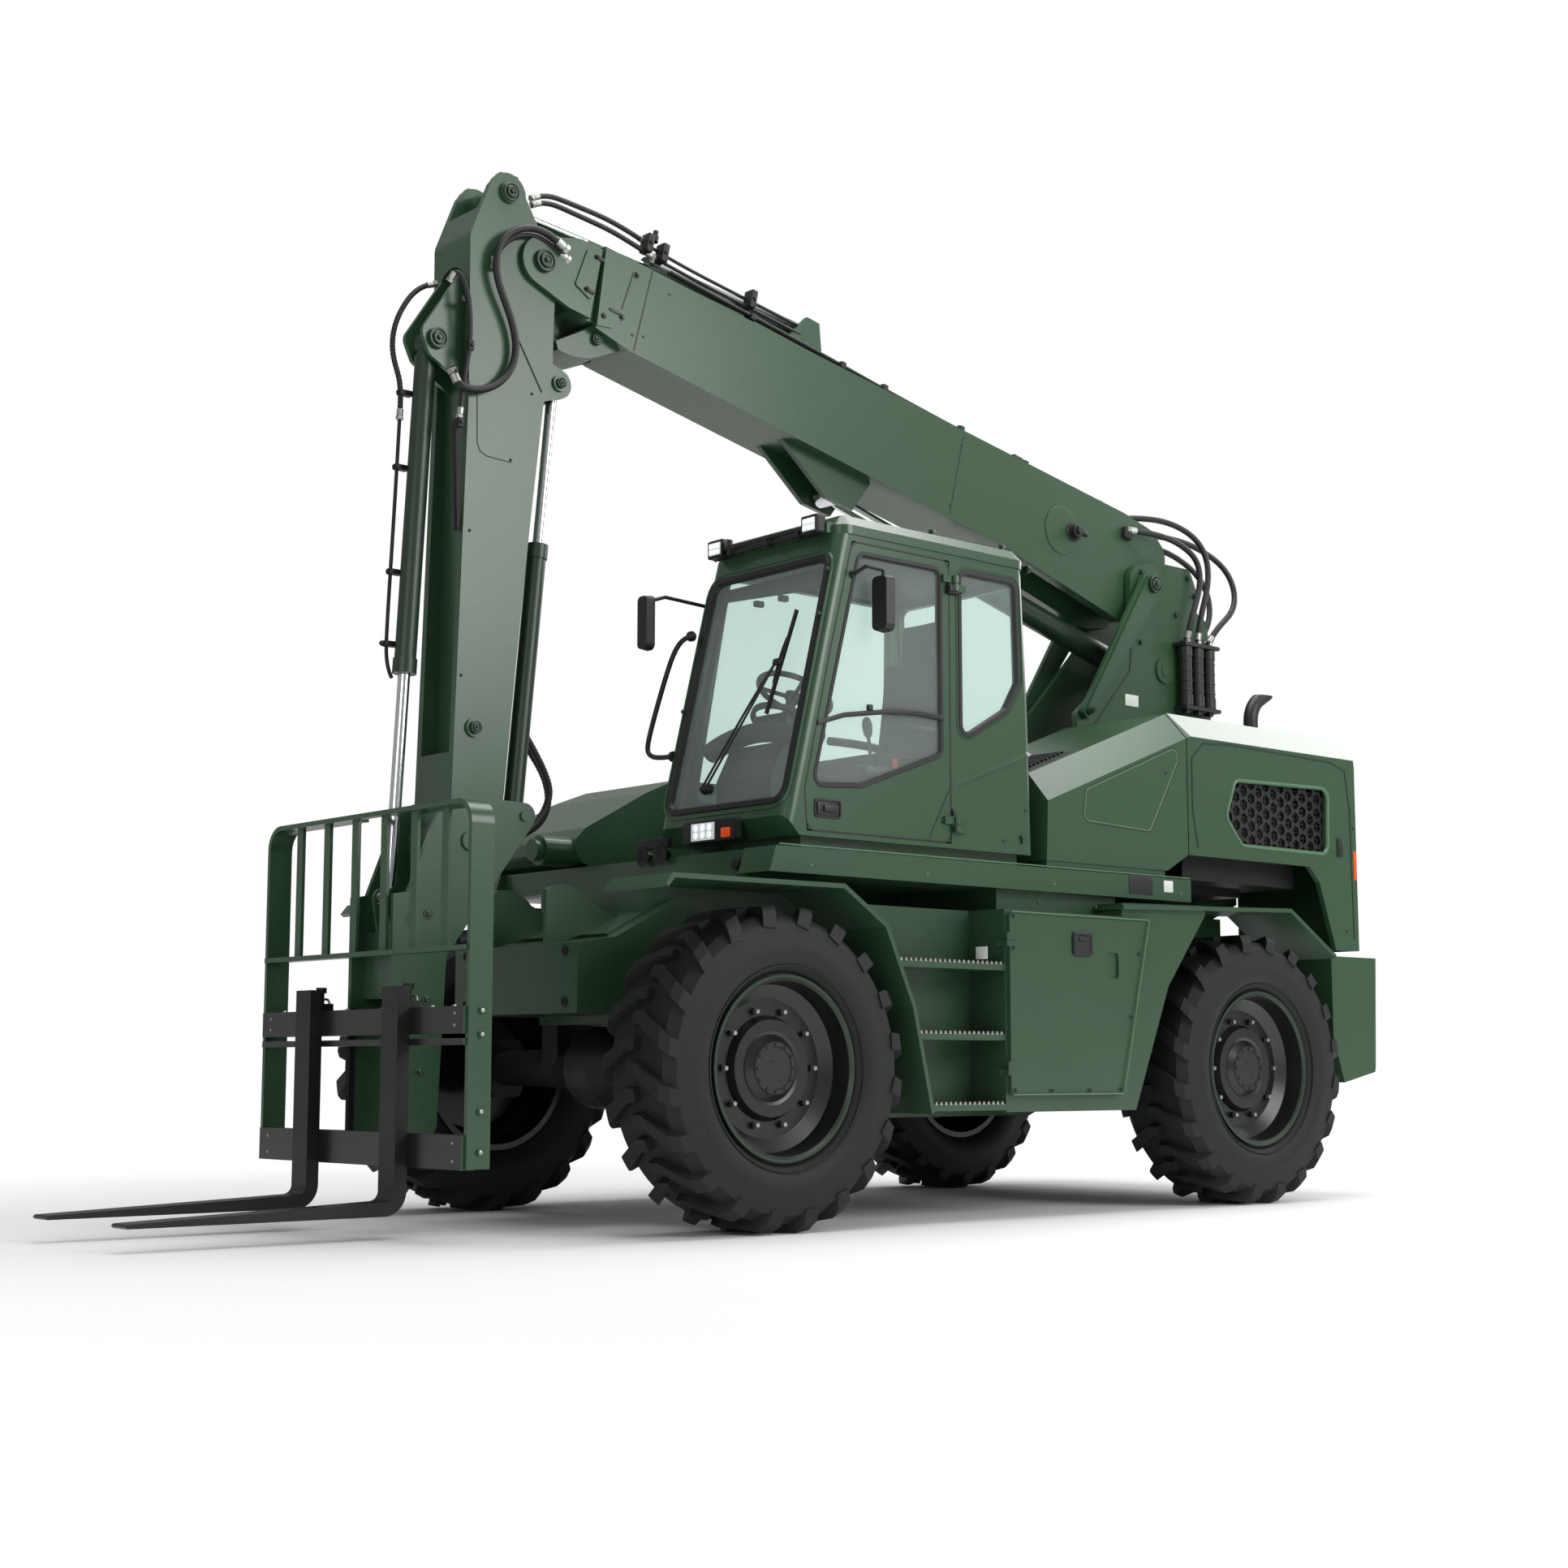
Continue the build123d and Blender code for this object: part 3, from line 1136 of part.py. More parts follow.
# ---------------------------------------------------------------- arm
twin_y = 85
eye_half = 24
arm_cheek = 34               # thickness of the arm's cheeks at the top
arm_eye_half = 42
arm_open_depth = 100         # from the top pin down to the floor between the cheeks
recess_half = 118
recess_top = 4500
recess_low = 2160
recess_back = 915            # floor of the recess, ahead of the front axle
arm_side_boss = (900, 2277)
with BuildPart() as arm:
    with BuildSketch(side_plane(0)):
        with BuildLine():
            Polyline(outline([
                (650, 4880), (700, 4975), (800, 4975), (855, 4905), (963, 4630), (957, 3844),
                (1013, 1944), (1030, 1700), (980, 1630), (880, 1630), (735, 1930),
                (603, 3246), (530, 3890), (500, 3930), (480, 4090), (478, 4241),
                (470, 4480), (460, 4640), (568, 4745)]), close=True)
        make_face()
        for place, rounding in (((568, 4745), 120), ((460, 4640), 50), ((963, 4630), 90),
                                ((500, 3930), 30), ((735, 1930), 200)):
            fillet(vertices().sort_by_distance((ahead(place[0]), place[1], 0))[0], rounding)
        with Locations((ahead(arm_pivot[0]), arm_pivot[1])):
            Circle(112)
        with Locations((ahead(arm_top_pin[0]), arm_top_pin[1])):
            Circle(100)
        with Locations((ahead(tilt_pivot[0]), tilt_pivot[1])):
            Circle(120)
    extrude(amount=arm_half, both=True)
    # the top is two cheeks, open to front and rear round the rod's eye
    with BuildSketch(side_plane(0)):
        with Locations((ahead(arm_top_pin[0]), arm_top_pin[1] - arm_open_depth + 150)):
            Rectangle(900, 300)
    extrude(amount=arm_half - arm_cheek, both=True, mode=Mode.SUBTRACT)
    for side in (1, -1):
        round_bar((ahead(arm_top_pin[0]), side * (arm_half - 1), arm_top_pin[1]), (0, -side, 0),
            arm_half - 1 - arm_eye_half - 1, 58)
        round_bar((ahead(arm_top_pin[0]), side * (arm_half - 2), arm_top_pin[1]), (0, side, 0), 22, 52)
    # arched recess in the front face over the front cylinder
    with BuildSketch(Plane(origin=(ahead(1100), 0, 0), x_dir=(0, 1, 0), z_dir=(1, 0, 0))):
        with Locations((0, recess_top - recess_half)):
            Circle(recess_half)
        with Locations((0, (recess_top - recess_half + recess_low) / 2)):
            Rectangle(2 * recess_half, recess_top - recess_half - recess_low)
    extrude(amount=-(1100 - recess_back), mode=Mode.SUBTRACT)
    # bore for the carriage's pin
    with BuildSketch(side_plane(0)):
        with Locations((ahead(tilt_pivot[0]), tilt_pivot[1])):
            Circle(pin_radius + 0.05)
    extrude(amount=arm_half + 1, both=True, mode=Mode.SUBTRACT)
    # pin in the boom's ears
    with BuildSketch(side_plane(head_half + 14)):
        with Locations((ahead(arm_pivot[0]), arm_pivot[1])):
            Circle(pin_radius)
    extrude(amount=2 * (head_half + 14))
    # rear lugs of the twin link cylinders
    for side in (1, -1):
        for plate_y in (twin_y - eye_half - 5 - 13, twin_y + eye_half + 5 + 13):
            with BuildSketch(side_plane(side * plate_y + 13)):
                with Locations((ahead(arm_rear_pin[0]), arm_rear_pin[1])):
                    Circle(72)
                with Locations((ahead(560), 4010)):
                    Rectangle(40, 230)
                make_hull()
            extrude(amount=26)
        with BuildSketch(side_plane(side * twin_y + eye_half + 4)):
            with Locations((ahead(arm_rear_pin[0]), arm_rear_pin[1])):
                Circle(82)
        extrude(amount=2 * (eye_half + 4), mode=Mode.SUBTRACT)
    # front lugs of the front link cylinder
    for side in (1, -1):
        with BuildSketch(side_plane(side * 75 + 12)):
            with BuildLine():
                Polyline(outline([
                    (recess_back - 5, 4440), (975, 4445), (1180, 4130), (1130, 4020),
                    (recess_back - 5, 3900)]), close=True)
            make_face()
            fillet(vertices().sort_by_distance((ahead(1180), 4130, 0))[0], 60)
            fillet(vertices().sort_by_distance((ahead(1130), 4020, 0))[0], 50)
        extrude(amount=24)
    with BuildSketch(side_plane(100)):
        with Locations((ahead(front_lug_pin[0]), front_lug_pin[1])):
            Circle(26)
    extrude(amount=200)
    # pin heads and bosses on the arm's sides
    rear_lug_outer = twin_y + eye_half + 31
    for place, seat, radius in ((arm_rear_pin, rear_lug_outer, 40), (arm_side_boss, arm_half, 44)):
        for side in (1, -1):
            head = (ahead(place[0]), side * (seat - 2), place[1])
            round_bar(head, (0, side, 0), 16, radius)
            round_bar(head, (0, side, 0), 26, radius * 0.6)
arm.part.label = "arm"
export_step(arm.part, "parts/arm.step")

# ---------------------------------------------------------------- fork carriage
hanger_gap = 5
hanger_plate = 26
bar_front = fork_face - fork_thick - fit_gap
post_front = 1373
post_depth = 116
strip_half = 150
post_bolts = (372, 540, 860, 960)
with BuildPart() as carriage:
    for side in (1, -1):
        near = arm_half + hanger_gap
        with BuildSketch(side_plane(near + hanger_plate if side > 0 else -near)):
            with Locations((ahead(tilt_pivot[0]), tilt_pivot[1])):
                Circle(205)
            with Locations((ahead(rear_link_pin[0]), rear_link_pin[1])):
                Circle(62)
            with Locations((ahead(1190), 1300)):
                Rectangle(130, 380)
            make_hull()
        extrude(amount=hanger_plate)
        with BuildSketch(side_plane(near + hanger_plate if side > 0 else -near)):
            with BuildLine():
                Polyline(outline([
                    (bar_front - 60, 1490), (bar_front - 60, 310), (1180, 300), (1080, 460),
                    (1040, 1300), (900, 1560)]), close=True)
            make_face()
        extrude(amount=hanger_plate)
    # pins of the arm and of the twin cylinders
    for place, radius in ((tilt_pivot, pin_radius), (rear_link_pin, 24)):
        with BuildSketch(side_plane(arm_half + hanger_gap + hanger_plate + 12)):
            with Locations((ahead(place[0]), place[1])):
                Circle(radius)
        extrude(amount=2 * (arm_half + hanger_gap + hanger_plate + 12))
    # cross box under the arm with the front cylinder's lugs
    with Locations((ahead(1180), 0, 1180)):
        Box(160, 2 * (arm_half + hanger_gap) + 4, 300)
    for side in (1, -1):
        with BuildSketch(side_plane(side * 53 + 10)):
            with Locations((ahead(front_link_pin[0]), front_link_pin[1])):
                Circle(52)
            with Locations((ahead(1200), 1320)):
                Rectangle(110, 40)
            make_hull()
        extrude(amount=20)
    # fork bars, mid rail and thin rail: height of the middle, height, depth
    for level, tall, deep in ((922, 115, 62), (831, 28, 40), (372, 145, 62), (1225, 22, 60)):
        with Locations((ahead(bar_front - deep / 2), 0, level)):
            Box(deep, 2 * carriage_half - 30, tall)
    # back rest, one flat bar bent round the outside, and its slats
    with BuildSketch(Plane(origin=(ahead(post_front - post_depth), 0, (303 + 1860) / 2),
                           x_dir=(0, 1, 0), z_dir=(1, 0, 0))):
        RectangleRounded(2 * carriage_half, 1860 - 303, 110)
        RectangleRounded(2 * carriage_half - 44, 1860 - 303 - 44, 90, mode=Mode.SUBTRACT)
        with Locations((0, -(1860 - 303) / 2)):
            Rectangle(2 * carriage_half - 44, 240, mode=Mode.SUBTRACT)
        for side in (1, -1):
            with Locations((side * (carriage_half - 11), -(1860 - 303) / 2 + 60)):
                Rectangle(22, 120)
    extrude(amount=post_depth)
    # its top is a narrow strip where the front cylinder's rod passes
    block((ahead(post_front - post_depth) - 1, ahead(post_front - 43)), (-strip_half, strip_half),
          (1800, 1880), mode=Mode.SUBTRACT)
    # bolt heads of the posts
    for side in (1, -1):
        for level in post_bolts:
            round_bar((ahead(post_front - 62), side * (carriage_half - 2), level), (0, side, 0), 12, 15)
    for i in range(6):
        with Locations((ahead(post_front - 38), (i - 2.5) * 2 * carriage_half / 7,
                        (1225 + 1850) / 2)):
            Box(16, 52, 1850 - 1225)
carriage.part.label = "carriage"
export_step(carriage.part, "parts/carriage.step")

with BuildPart() as forks:
    for side in (1, -1):
        with BuildSketch(side_plane(side * fork_spread / 2 + fork_width / 2)):
            with BuildLine():
                back = fork_face - fork_thick
                tip = fork_face + fork_length
                Polyline(outline([
                    (back, 1072), (fork_face, 1072), (fork_face, fork_low + fork_thick),
                    (tip - 10, fork_low + 18), (tip, fork_low + 9), (tip - 10, fork_low),
                    (back, fork_low)]), close=True)
            make_face()
        extrude(amount=fork_width)
    heel = forks.edges().filter_by(Axis.Y)
    fillet(heel.filter_by(lambda e: e.center().X < ahead(fork_face - fork_thick) + 1
                          and e.center().Z < fork_low + 1), 105)
    fillet(forks.edges().filter_by(Axis.Y).filter_by(
        lambda e: abs(e.center().X - ahead(fork_face)) < 1
        and abs(e.center().Z - fork_low - fork_thick) < 1), 42)
    for side in (1, -1):
        with Locations((ahead(bar_front - 30), side * fork_spread / 2, 980 + fit_gap + 16)):
            Box(64 + 2 * fit_gap, fork_width - 20, 32)
        # locking pin with its knob
        round_bar((ahead(bar_front - 30), side * fork_spread / 2, 1008), (0, 0, 1), 60, 14)
        round_bar((ahead(bar_front - 30), side * fork_spread / 2, 1060), (0, 0, 1), 26, 24)
forks.part.label = "forks"
export_step(forks.part, "parts/forks.step")

# ---------------------------------------------------------------- cylinders
# name, base pin, rod pin, Y places, barrel radius, rod radius, barrel length,
# rod's inner end from the base pin, half width of its eyes, base pin radius
cylinders = [
    ("lift", lift_base, lift_pin, (0,), 72, 40, 1650, 350, 58, 38),
    ("arm", arm_base, arm_top_pin, (0,), 50, 27, 1090, 570, 42, 24),
    ("link_rear", rear_link_pin, arm_rear_pin, (twin_y, -twin_y), 46, 26, 1330, 420,
     eye_half, 24),
    ("link_front", front_lug_pin, front_link_pin, (0,), 50, 28, 1590, 500, 36, 26),
]
for name, base, eye, places, barrel_r, rod_r, barrel_length, rod_start, half, pin in cylinders:
    span = ((eye[0] - base[0]) ** 2 + (eye[1] - base[1]) ** 2) ** 0.5
    along = ((eye[0] - base[0]) / span, 0, (eye[1] - base[1]) / span)
    with BuildPart() as barrel:
        for place in places:
            line = Plane(origin=(ahead(base[0]), place, base[1]), x_dir=(0, 1, 0), z_dir=along)
            neck = barrel_r + 20
            with BuildSketch(line.offset(neck)):
                Circle(barrel_r)
            extrude(amount=barrel_length - neck)
            with BuildSketch(line.offset(barrel_length - 70)):
                Circle(barrel_r + 6)
            extrude(amount=70)
            with BuildSketch(line.offset(pin + 4)):
                RectangleRounded(2 * half, 2 * half, half / 2)
            extrude(amount=neck + 6 - pin)
            with BuildSketch(side_plane(place + half)):
                with Locations((ahead(base[0]), base[1])):
                    Circle(pin + 24)
            extrude(amount=2 * half)
            with BuildSketch(line.offset(neck + 30)):
                Circle(rod_r + 0.5)
            extrude(amount=barrel_length, mode=Mode.SUBTRACT)
            with BuildSketch(side_plane(place + half + 1)):
                with Locations((ahead(base[0]), base[1])):
                    Circle(pin + 0.05)
            extrude(amount=2 * half + 2, mode=Mode.SUBTRACT)
    barrel.part.label = f"{name}_barrel"
    export_step(barrel.part, f"parts/{name}_barrel.step")
    with BuildPart() as rod:
        for place in places:
            line = Plane(origin=(ahead(base[0]), place, base[1]), x_dir=(0, 1, 0), z_dir=along)
            with BuildSketch(line.offset(rod_start)):
                Circle(rod_r)
            extrude(amount=span - rod_start - 30)
            with BuildSketch(side_plane(place + half)):
                with Locations((ahead(eye[0]), eye[1])):
                    Circle(pin + 20)
            extrude(amount=2 * half)
    rod.part.label = f"{name}_rod"
    export_step(rod.part, f"parts/{name}_rod.step")
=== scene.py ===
import bpy
import bmesh
import math
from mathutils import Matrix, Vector


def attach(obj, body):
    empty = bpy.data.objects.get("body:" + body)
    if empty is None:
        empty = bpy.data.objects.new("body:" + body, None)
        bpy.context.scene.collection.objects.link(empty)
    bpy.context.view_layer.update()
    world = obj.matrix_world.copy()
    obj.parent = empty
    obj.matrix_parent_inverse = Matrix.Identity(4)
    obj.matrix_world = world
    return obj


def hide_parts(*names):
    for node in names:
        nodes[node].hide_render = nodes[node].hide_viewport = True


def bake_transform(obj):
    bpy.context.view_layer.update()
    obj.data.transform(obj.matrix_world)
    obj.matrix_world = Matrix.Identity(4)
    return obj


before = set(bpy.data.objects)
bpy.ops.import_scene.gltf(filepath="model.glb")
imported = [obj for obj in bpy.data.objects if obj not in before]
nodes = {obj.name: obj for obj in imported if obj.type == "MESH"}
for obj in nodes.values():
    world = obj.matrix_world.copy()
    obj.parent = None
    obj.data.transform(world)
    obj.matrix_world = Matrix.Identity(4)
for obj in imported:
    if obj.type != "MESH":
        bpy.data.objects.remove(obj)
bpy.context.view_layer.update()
AX = 1.028                       # front axle; places ahead of it are given from there
REAR_AXLE = -3.4
HUB_SIDE, HUB_UP = 1.115, 0.72
CAB_SIDE = 1.2                   # outer face of the cab, the hoods and the deck rail
SEAT_SIDE = 0.735                # middle of the cab, its seat and its wheel
RIB_PITCH = 0.009                # step along a ribbed hose
ARC_STEPS = 5                    # steps round a rounded corner


def at(ahead, side, up):
    """Place from the front axle, with y to the machine's left and z from the ground."""
    return Vector((AX + ahead, side, up))


def route(place, *rows):
    """Places in a row, each from the arguments of one placing function."""
    return [place(*row) for row in rows]


def placed(name, data):
    """New object of the data in the scene."""
    item = bpy.data.objects.new(name, data)
    bpy.context.scene.collection.objects.link(item)
    return item

# ---- materials
def linear(value):
    """Linear light of an 8-bit sRGB value."""
    value /= 255
    return value / 12.92 if value <= 0.04045 else ((value + 0.055) / 1.055) ** 2.4


def rgb(r, g, b):
    return (linear(r), linear(g), linear(b), 1.0)


def node(tree, kind, values=(), **settings):
    """New shader node of the kind, with its settings and input values."""
    item = tree.nodes.new("ShaderNode" + kind)
    for key, value in settings.items():
        setattr(item, key, value)
    fill(item, dict(values))
    return item


def fill(item, values):
    """Sets inputs of a shader node, by name or number."""
    for key, value in values.items():
        item.inputs[key].default_value = value


def wire(tree, *rows):
    """Joins nodes: each row is a node and its output, then a node and its input."""
    for source, output, target, entry in rows:
        tree.links.new(source.outputs[output], target.inputs[entry])


def finish(name, colour, rough=0.5, metal=0.0, mottle=0.06, grain=40.0, bump=0.0, coat=0.0,
        spread=0.08, stretch=(1, 1, 1), low_tint=None, specular=0.5):
    """Material with a colour that varies gently over the object, varied gloss and a fine bump."""
    material = bpy.data.materials.new(name)
    material.use_nodes = True
    tree = material.node_tree
    shader = tree.nodes["Principled BSDF"]
    place = node(tree, "TexCoord")
    mapping = node(tree, "Mapping", {"Scale": stretch})
    broad = node(tree, "TexNoise", {"Scale": 1.7, "Detail": 5.0})
    darker = tuple(c * (1 - mottle) for c in colour[:3]) + (1,)
    paler = tuple(min(1, c * (1 + mottle)) for c in colour[:3]) + (1,)
    last = node(tree, "Mix", {6: darker, 7: paler}, data_type="RGBA")
    wire(tree, (place, "Object", mapping, "Vector"), (mapping, "Vector", broad, "Vector"),
        (broad, "Fac", last, 0))
    if low_tint:
        # a paler tint that grows towards the ground, patchy with the broad noise
        height = node(tree, "SeparateXYZ")
        low = node(tree, "MapRange", {"From Min": 1.4, "From Max": 0.0, "To Max": 0.35})
        speck = node(tree, "Math", operation="MULTIPLY")
        low_tinted = node(tree, "Mix", {7: low_tint}, data_type="RGBA")
        wire(tree, (place, "Object", height, 0), (height, "Z", low, "Value"), (low, 0, speck, 0),
            (broad, "Fac", speck, 1), (speck, 0, low_tinted, 0), (last, 2, low_tinted, 6))
        last = low_tinted
    fine = node(tree, "TexNoise", {"Scale": grain, "Detail": 3.0})
    gloss = node(tree, "MapRange", {"To Min": max(0.02, rough - spread),
        "To Max": min(1.0, rough + spread)})
    wire(tree, (last, 2, shader, "Base Color"), (mapping, "Vector", fine, "Vector"),
        (fine, "Fac", gloss, "Value"), (gloss, 0, shader, "Roughness"))
    fill(shader, {"Metallic": metal, "Specular IOR Level": specular, "Coat Weight": coat,
        "Coat Roughness": 0.25})
    if bump:
        relief = node(tree, "Bump", {"Strength": bump, "Distance": 0.002})
        wire(tree, (fine, "Fac", relief, "Height"), (relief, "Normal", shader, "Normal"))
    return material


def glazing(name, tint, clear):
    """Thin pane: mostly clear with a tint, and a soft gloss on its surface."""
    material = finish(name, tint, 0.03, spread=0.01, mottle=0.03)
    tree = material.node_tree
    through = node(tree, "BsdfTransparent", {"Color": tint})
    blend = node(tree, "MixShader", {0: clear})
    wire(tree, (tree.nodes["Principled BSDF"], 0, blend, 1), (through, 0, blend, 2),
        (blend, 0, tree.nodes["Material Output"], "Surface"))
    return material


def glow(name, colour, strength):
    """Glossy lamp glass that gives a little light."""
    material = finish(name, colour, 0.15, spread=0.05)
    fill(material.node_tree.nodes["Principled BSDF"],
        {"Emission Color": colour, "Emission Strength": strength})
    return material


green = finish("green_paint", rgb(47, 78, 52), 0.3, mottle=0.05, coat=0.25, bump=0.04, grain=90)
green_low = finish("green_paint_low", rgb(45, 75, 50), 0.34, mottle=0.06, coat=0.2, bump=0.05,
    grain=90, low_tint=rgb(96, 100, 86))
green_dark = finish("green_paint_shaded", rgb(32, 52, 37), 0.36, coat=0.1, bump=0.05, grain=90)
black_steel = finish("black_steel", rgb(34, 35, 35), 0.48, metal=0.25, bump=0.12, grain=60,
    mottle=0.18)
fork_steel = finish("fork_steel", rgb(40, 41, 41), 0.42, metal=0.45, bump=0.15, grain=30,
    mottle=0.25, stretch=(1, 1, 6))
rubber = finish("tyre_rubber", rgb(27, 28, 29), 0.62, bump=0.25, grain=55, mottle=0.12,
    specular=0.35)
trim = finish("black_plastic", rgb(24, 25, 25), 0.45, bump=0.1, grain=120, mottle=0.08)
hose_rubber = finish("hose_rubber", rgb(22, 23, 23), 0.5, bump=0.3, grain=160, mottle=0.1)
chrome = finish("chrome_rod", rgb(225, 228, 230), 0.1, metal=1.0, spread=0.03, mottle=0.01)
zinc = finish("zinc_fitting", rgb(176, 178, 172), 0.35, metal=0.9, mottle=0.08)
fabric = finish("seat_fabric", rgb(30, 32, 34), 0.85, bump=0.5, grain=260, mottle=0.12)
floor_pale = finish("pale_floor", (0.93, 0.93, 0.93, 1), 0.7, mottle=0.01, spread=0.02)
pane = glazing("cab_glass_clear", (0.90, 0.965, 0.94, 1), 0.9)
lens = glow("lamp_lens", rgb(226, 232, 236), 0.25)
amber = glow("amber_lens", rgb(222, 78, 26), 0.25)
blank_plate = finish("blank_plate", rgb(222, 226, 222), 0.5, mottle=0.04)
# paler copy of the green paint: painted highlight for lit edges, lips, rims and rivets
green_painted_highlight = finish("green_paint_highlight", rgb(84, 116, 88), 0.34, coat=0.3, mottle=0.04)
rim_black = finish("rim_black", rgb(17, 20, 18), 0.34, coat=0.2, bump=0.05, grain=90)
hub_grey = finish("hub_grey", rgb(38, 42, 40), 0.45, metal=0.2, bump=0.08, grain=80)
# dark seams and panel gaps; on the door's fold the same colour is painted shade
dark_seam_and_shade = finish("dark_seam_and_shade", rgb(22, 34, 26), 0.6)
lens_bright = glow("lamp_spots", rgb(245, 248, 250), 0.6)
amber_cloth = finish("orange_plastic", rgb(206, 70, 24), 0.5, mottle=0.05)

# the carriage is painted like the rest, with its fork bars left black
carriage_paint = finish("carriage_paint", rgb(47, 78, 52), 0.3, mottle=0.05, coat=0.25, bump=0.04,
    grain=90)
tree = carriage_paint.node_tree
shader = tree.nodes["Principled BSDF"]
plain = shader.inputs["Base Color"].links[0].from_node
parts = node(tree, "SeparateXYZ")
wire(tree, (node(tree, "TexCoord"), "Object", parts, 0))
bar_zone = None
for axis, act, limit in (("X", "GREATER_THAN", AX + 1.295), ("Z", "LESS_THAN", 0.99),
        ("Y", "LESS_THAN", 0.847), ("Y", "GREATER_THAN", -0.847)):
    test = node(tree, "Math", {1: limit}, operation=act)
    wire(tree, (parts, axis, test, 0))
    if bar_zone:
        both = node(tree, "Math", operation="MULTIPLY")
        wire(tree, (bar_zone, 0, both, 0), (test, 0, both, 1))
        bar_zone = both
    else:
        bar_zone = test
painted = node(tree, "Mix", {7: rgb(28, 29, 29)}, data_type="RGBA")
wire(tree, (bar_zone, 0, painted, 0), (plain, 2, painted, 6), (painted, 2, shader, "Base Color"))

# look of each CAD node, by the longest of these beginnings of its name
looks = {start: look for look, starts in ((rubber, "tyre"), (rim_black, "rim"),
    (carriage_paint, "carriage"), (fork_steel, "forks"),
    (black_steel, "knuckle front_axle rear_axle engine_block valve_block boom_pipes"),
    (green_low, "chassis_frame side_body toolbox_door"),
    (green, "deck counterweight hood_front hood_rear right_cover tower_braces tower cab_body "
    "cab_roof cab_door boom_outer boom_inner arm"),
    (green_dark, "arm_barrel lift_barrel link_rear_barrel link_front_barrel"),
    (chrome, "arm_rod lift_rod link_rear_rod link_front_rod"),
    (trim, "hood_grille exhaust_stack seat_base cab_console cab_mirror door_mirror lamps"),
    (pane, "cab_glass door_glass"), (fabric, "seat_cushion")) for start in starts.split()}
for name, item in nodes.items():
    key = max((k for k in looks if name.startswith(k)), key=len, default="tower")
    look = looks[key]
    if not item.data.materials:
        item.data.materials.append(look)
    for slot in item.material_slots:
        slot.link = "OBJECT"
        slot.material = look

# ---- form helpers
X, Y, Z = Vector((1, 0, 0)), Vector((0, 1, 0)), Vector((0, 0, 1))
boom_turn = math.radians(11.3)
boom_fore = Vector((math.cos(boom_turn), 0, math.sin(boom_turn)))
boom_rise = Vector((-math.sin(boom_turn), 0, math.cos(boom_turn)))
boom_axes = (boom_fore, Y, boom_rise)


def boom_foot(side):
    """Place on the axis of the boom's foot pivot."""
    return at(-3.85, side, 3.6)


def on_boom(along, rise, side):
    """Place on the boom, from its foot pivot along the boom and square to it."""
    return boom_foot(side) + boom_fore * along + boom_rise * rise


def around(across, other, count):
    """Directions evenly round an axis, from two that are square to it."""
    return [across * math.cos(a) + other * math.sin(a) for a in (2 * math.pi * i / count
        for i in range(count))]


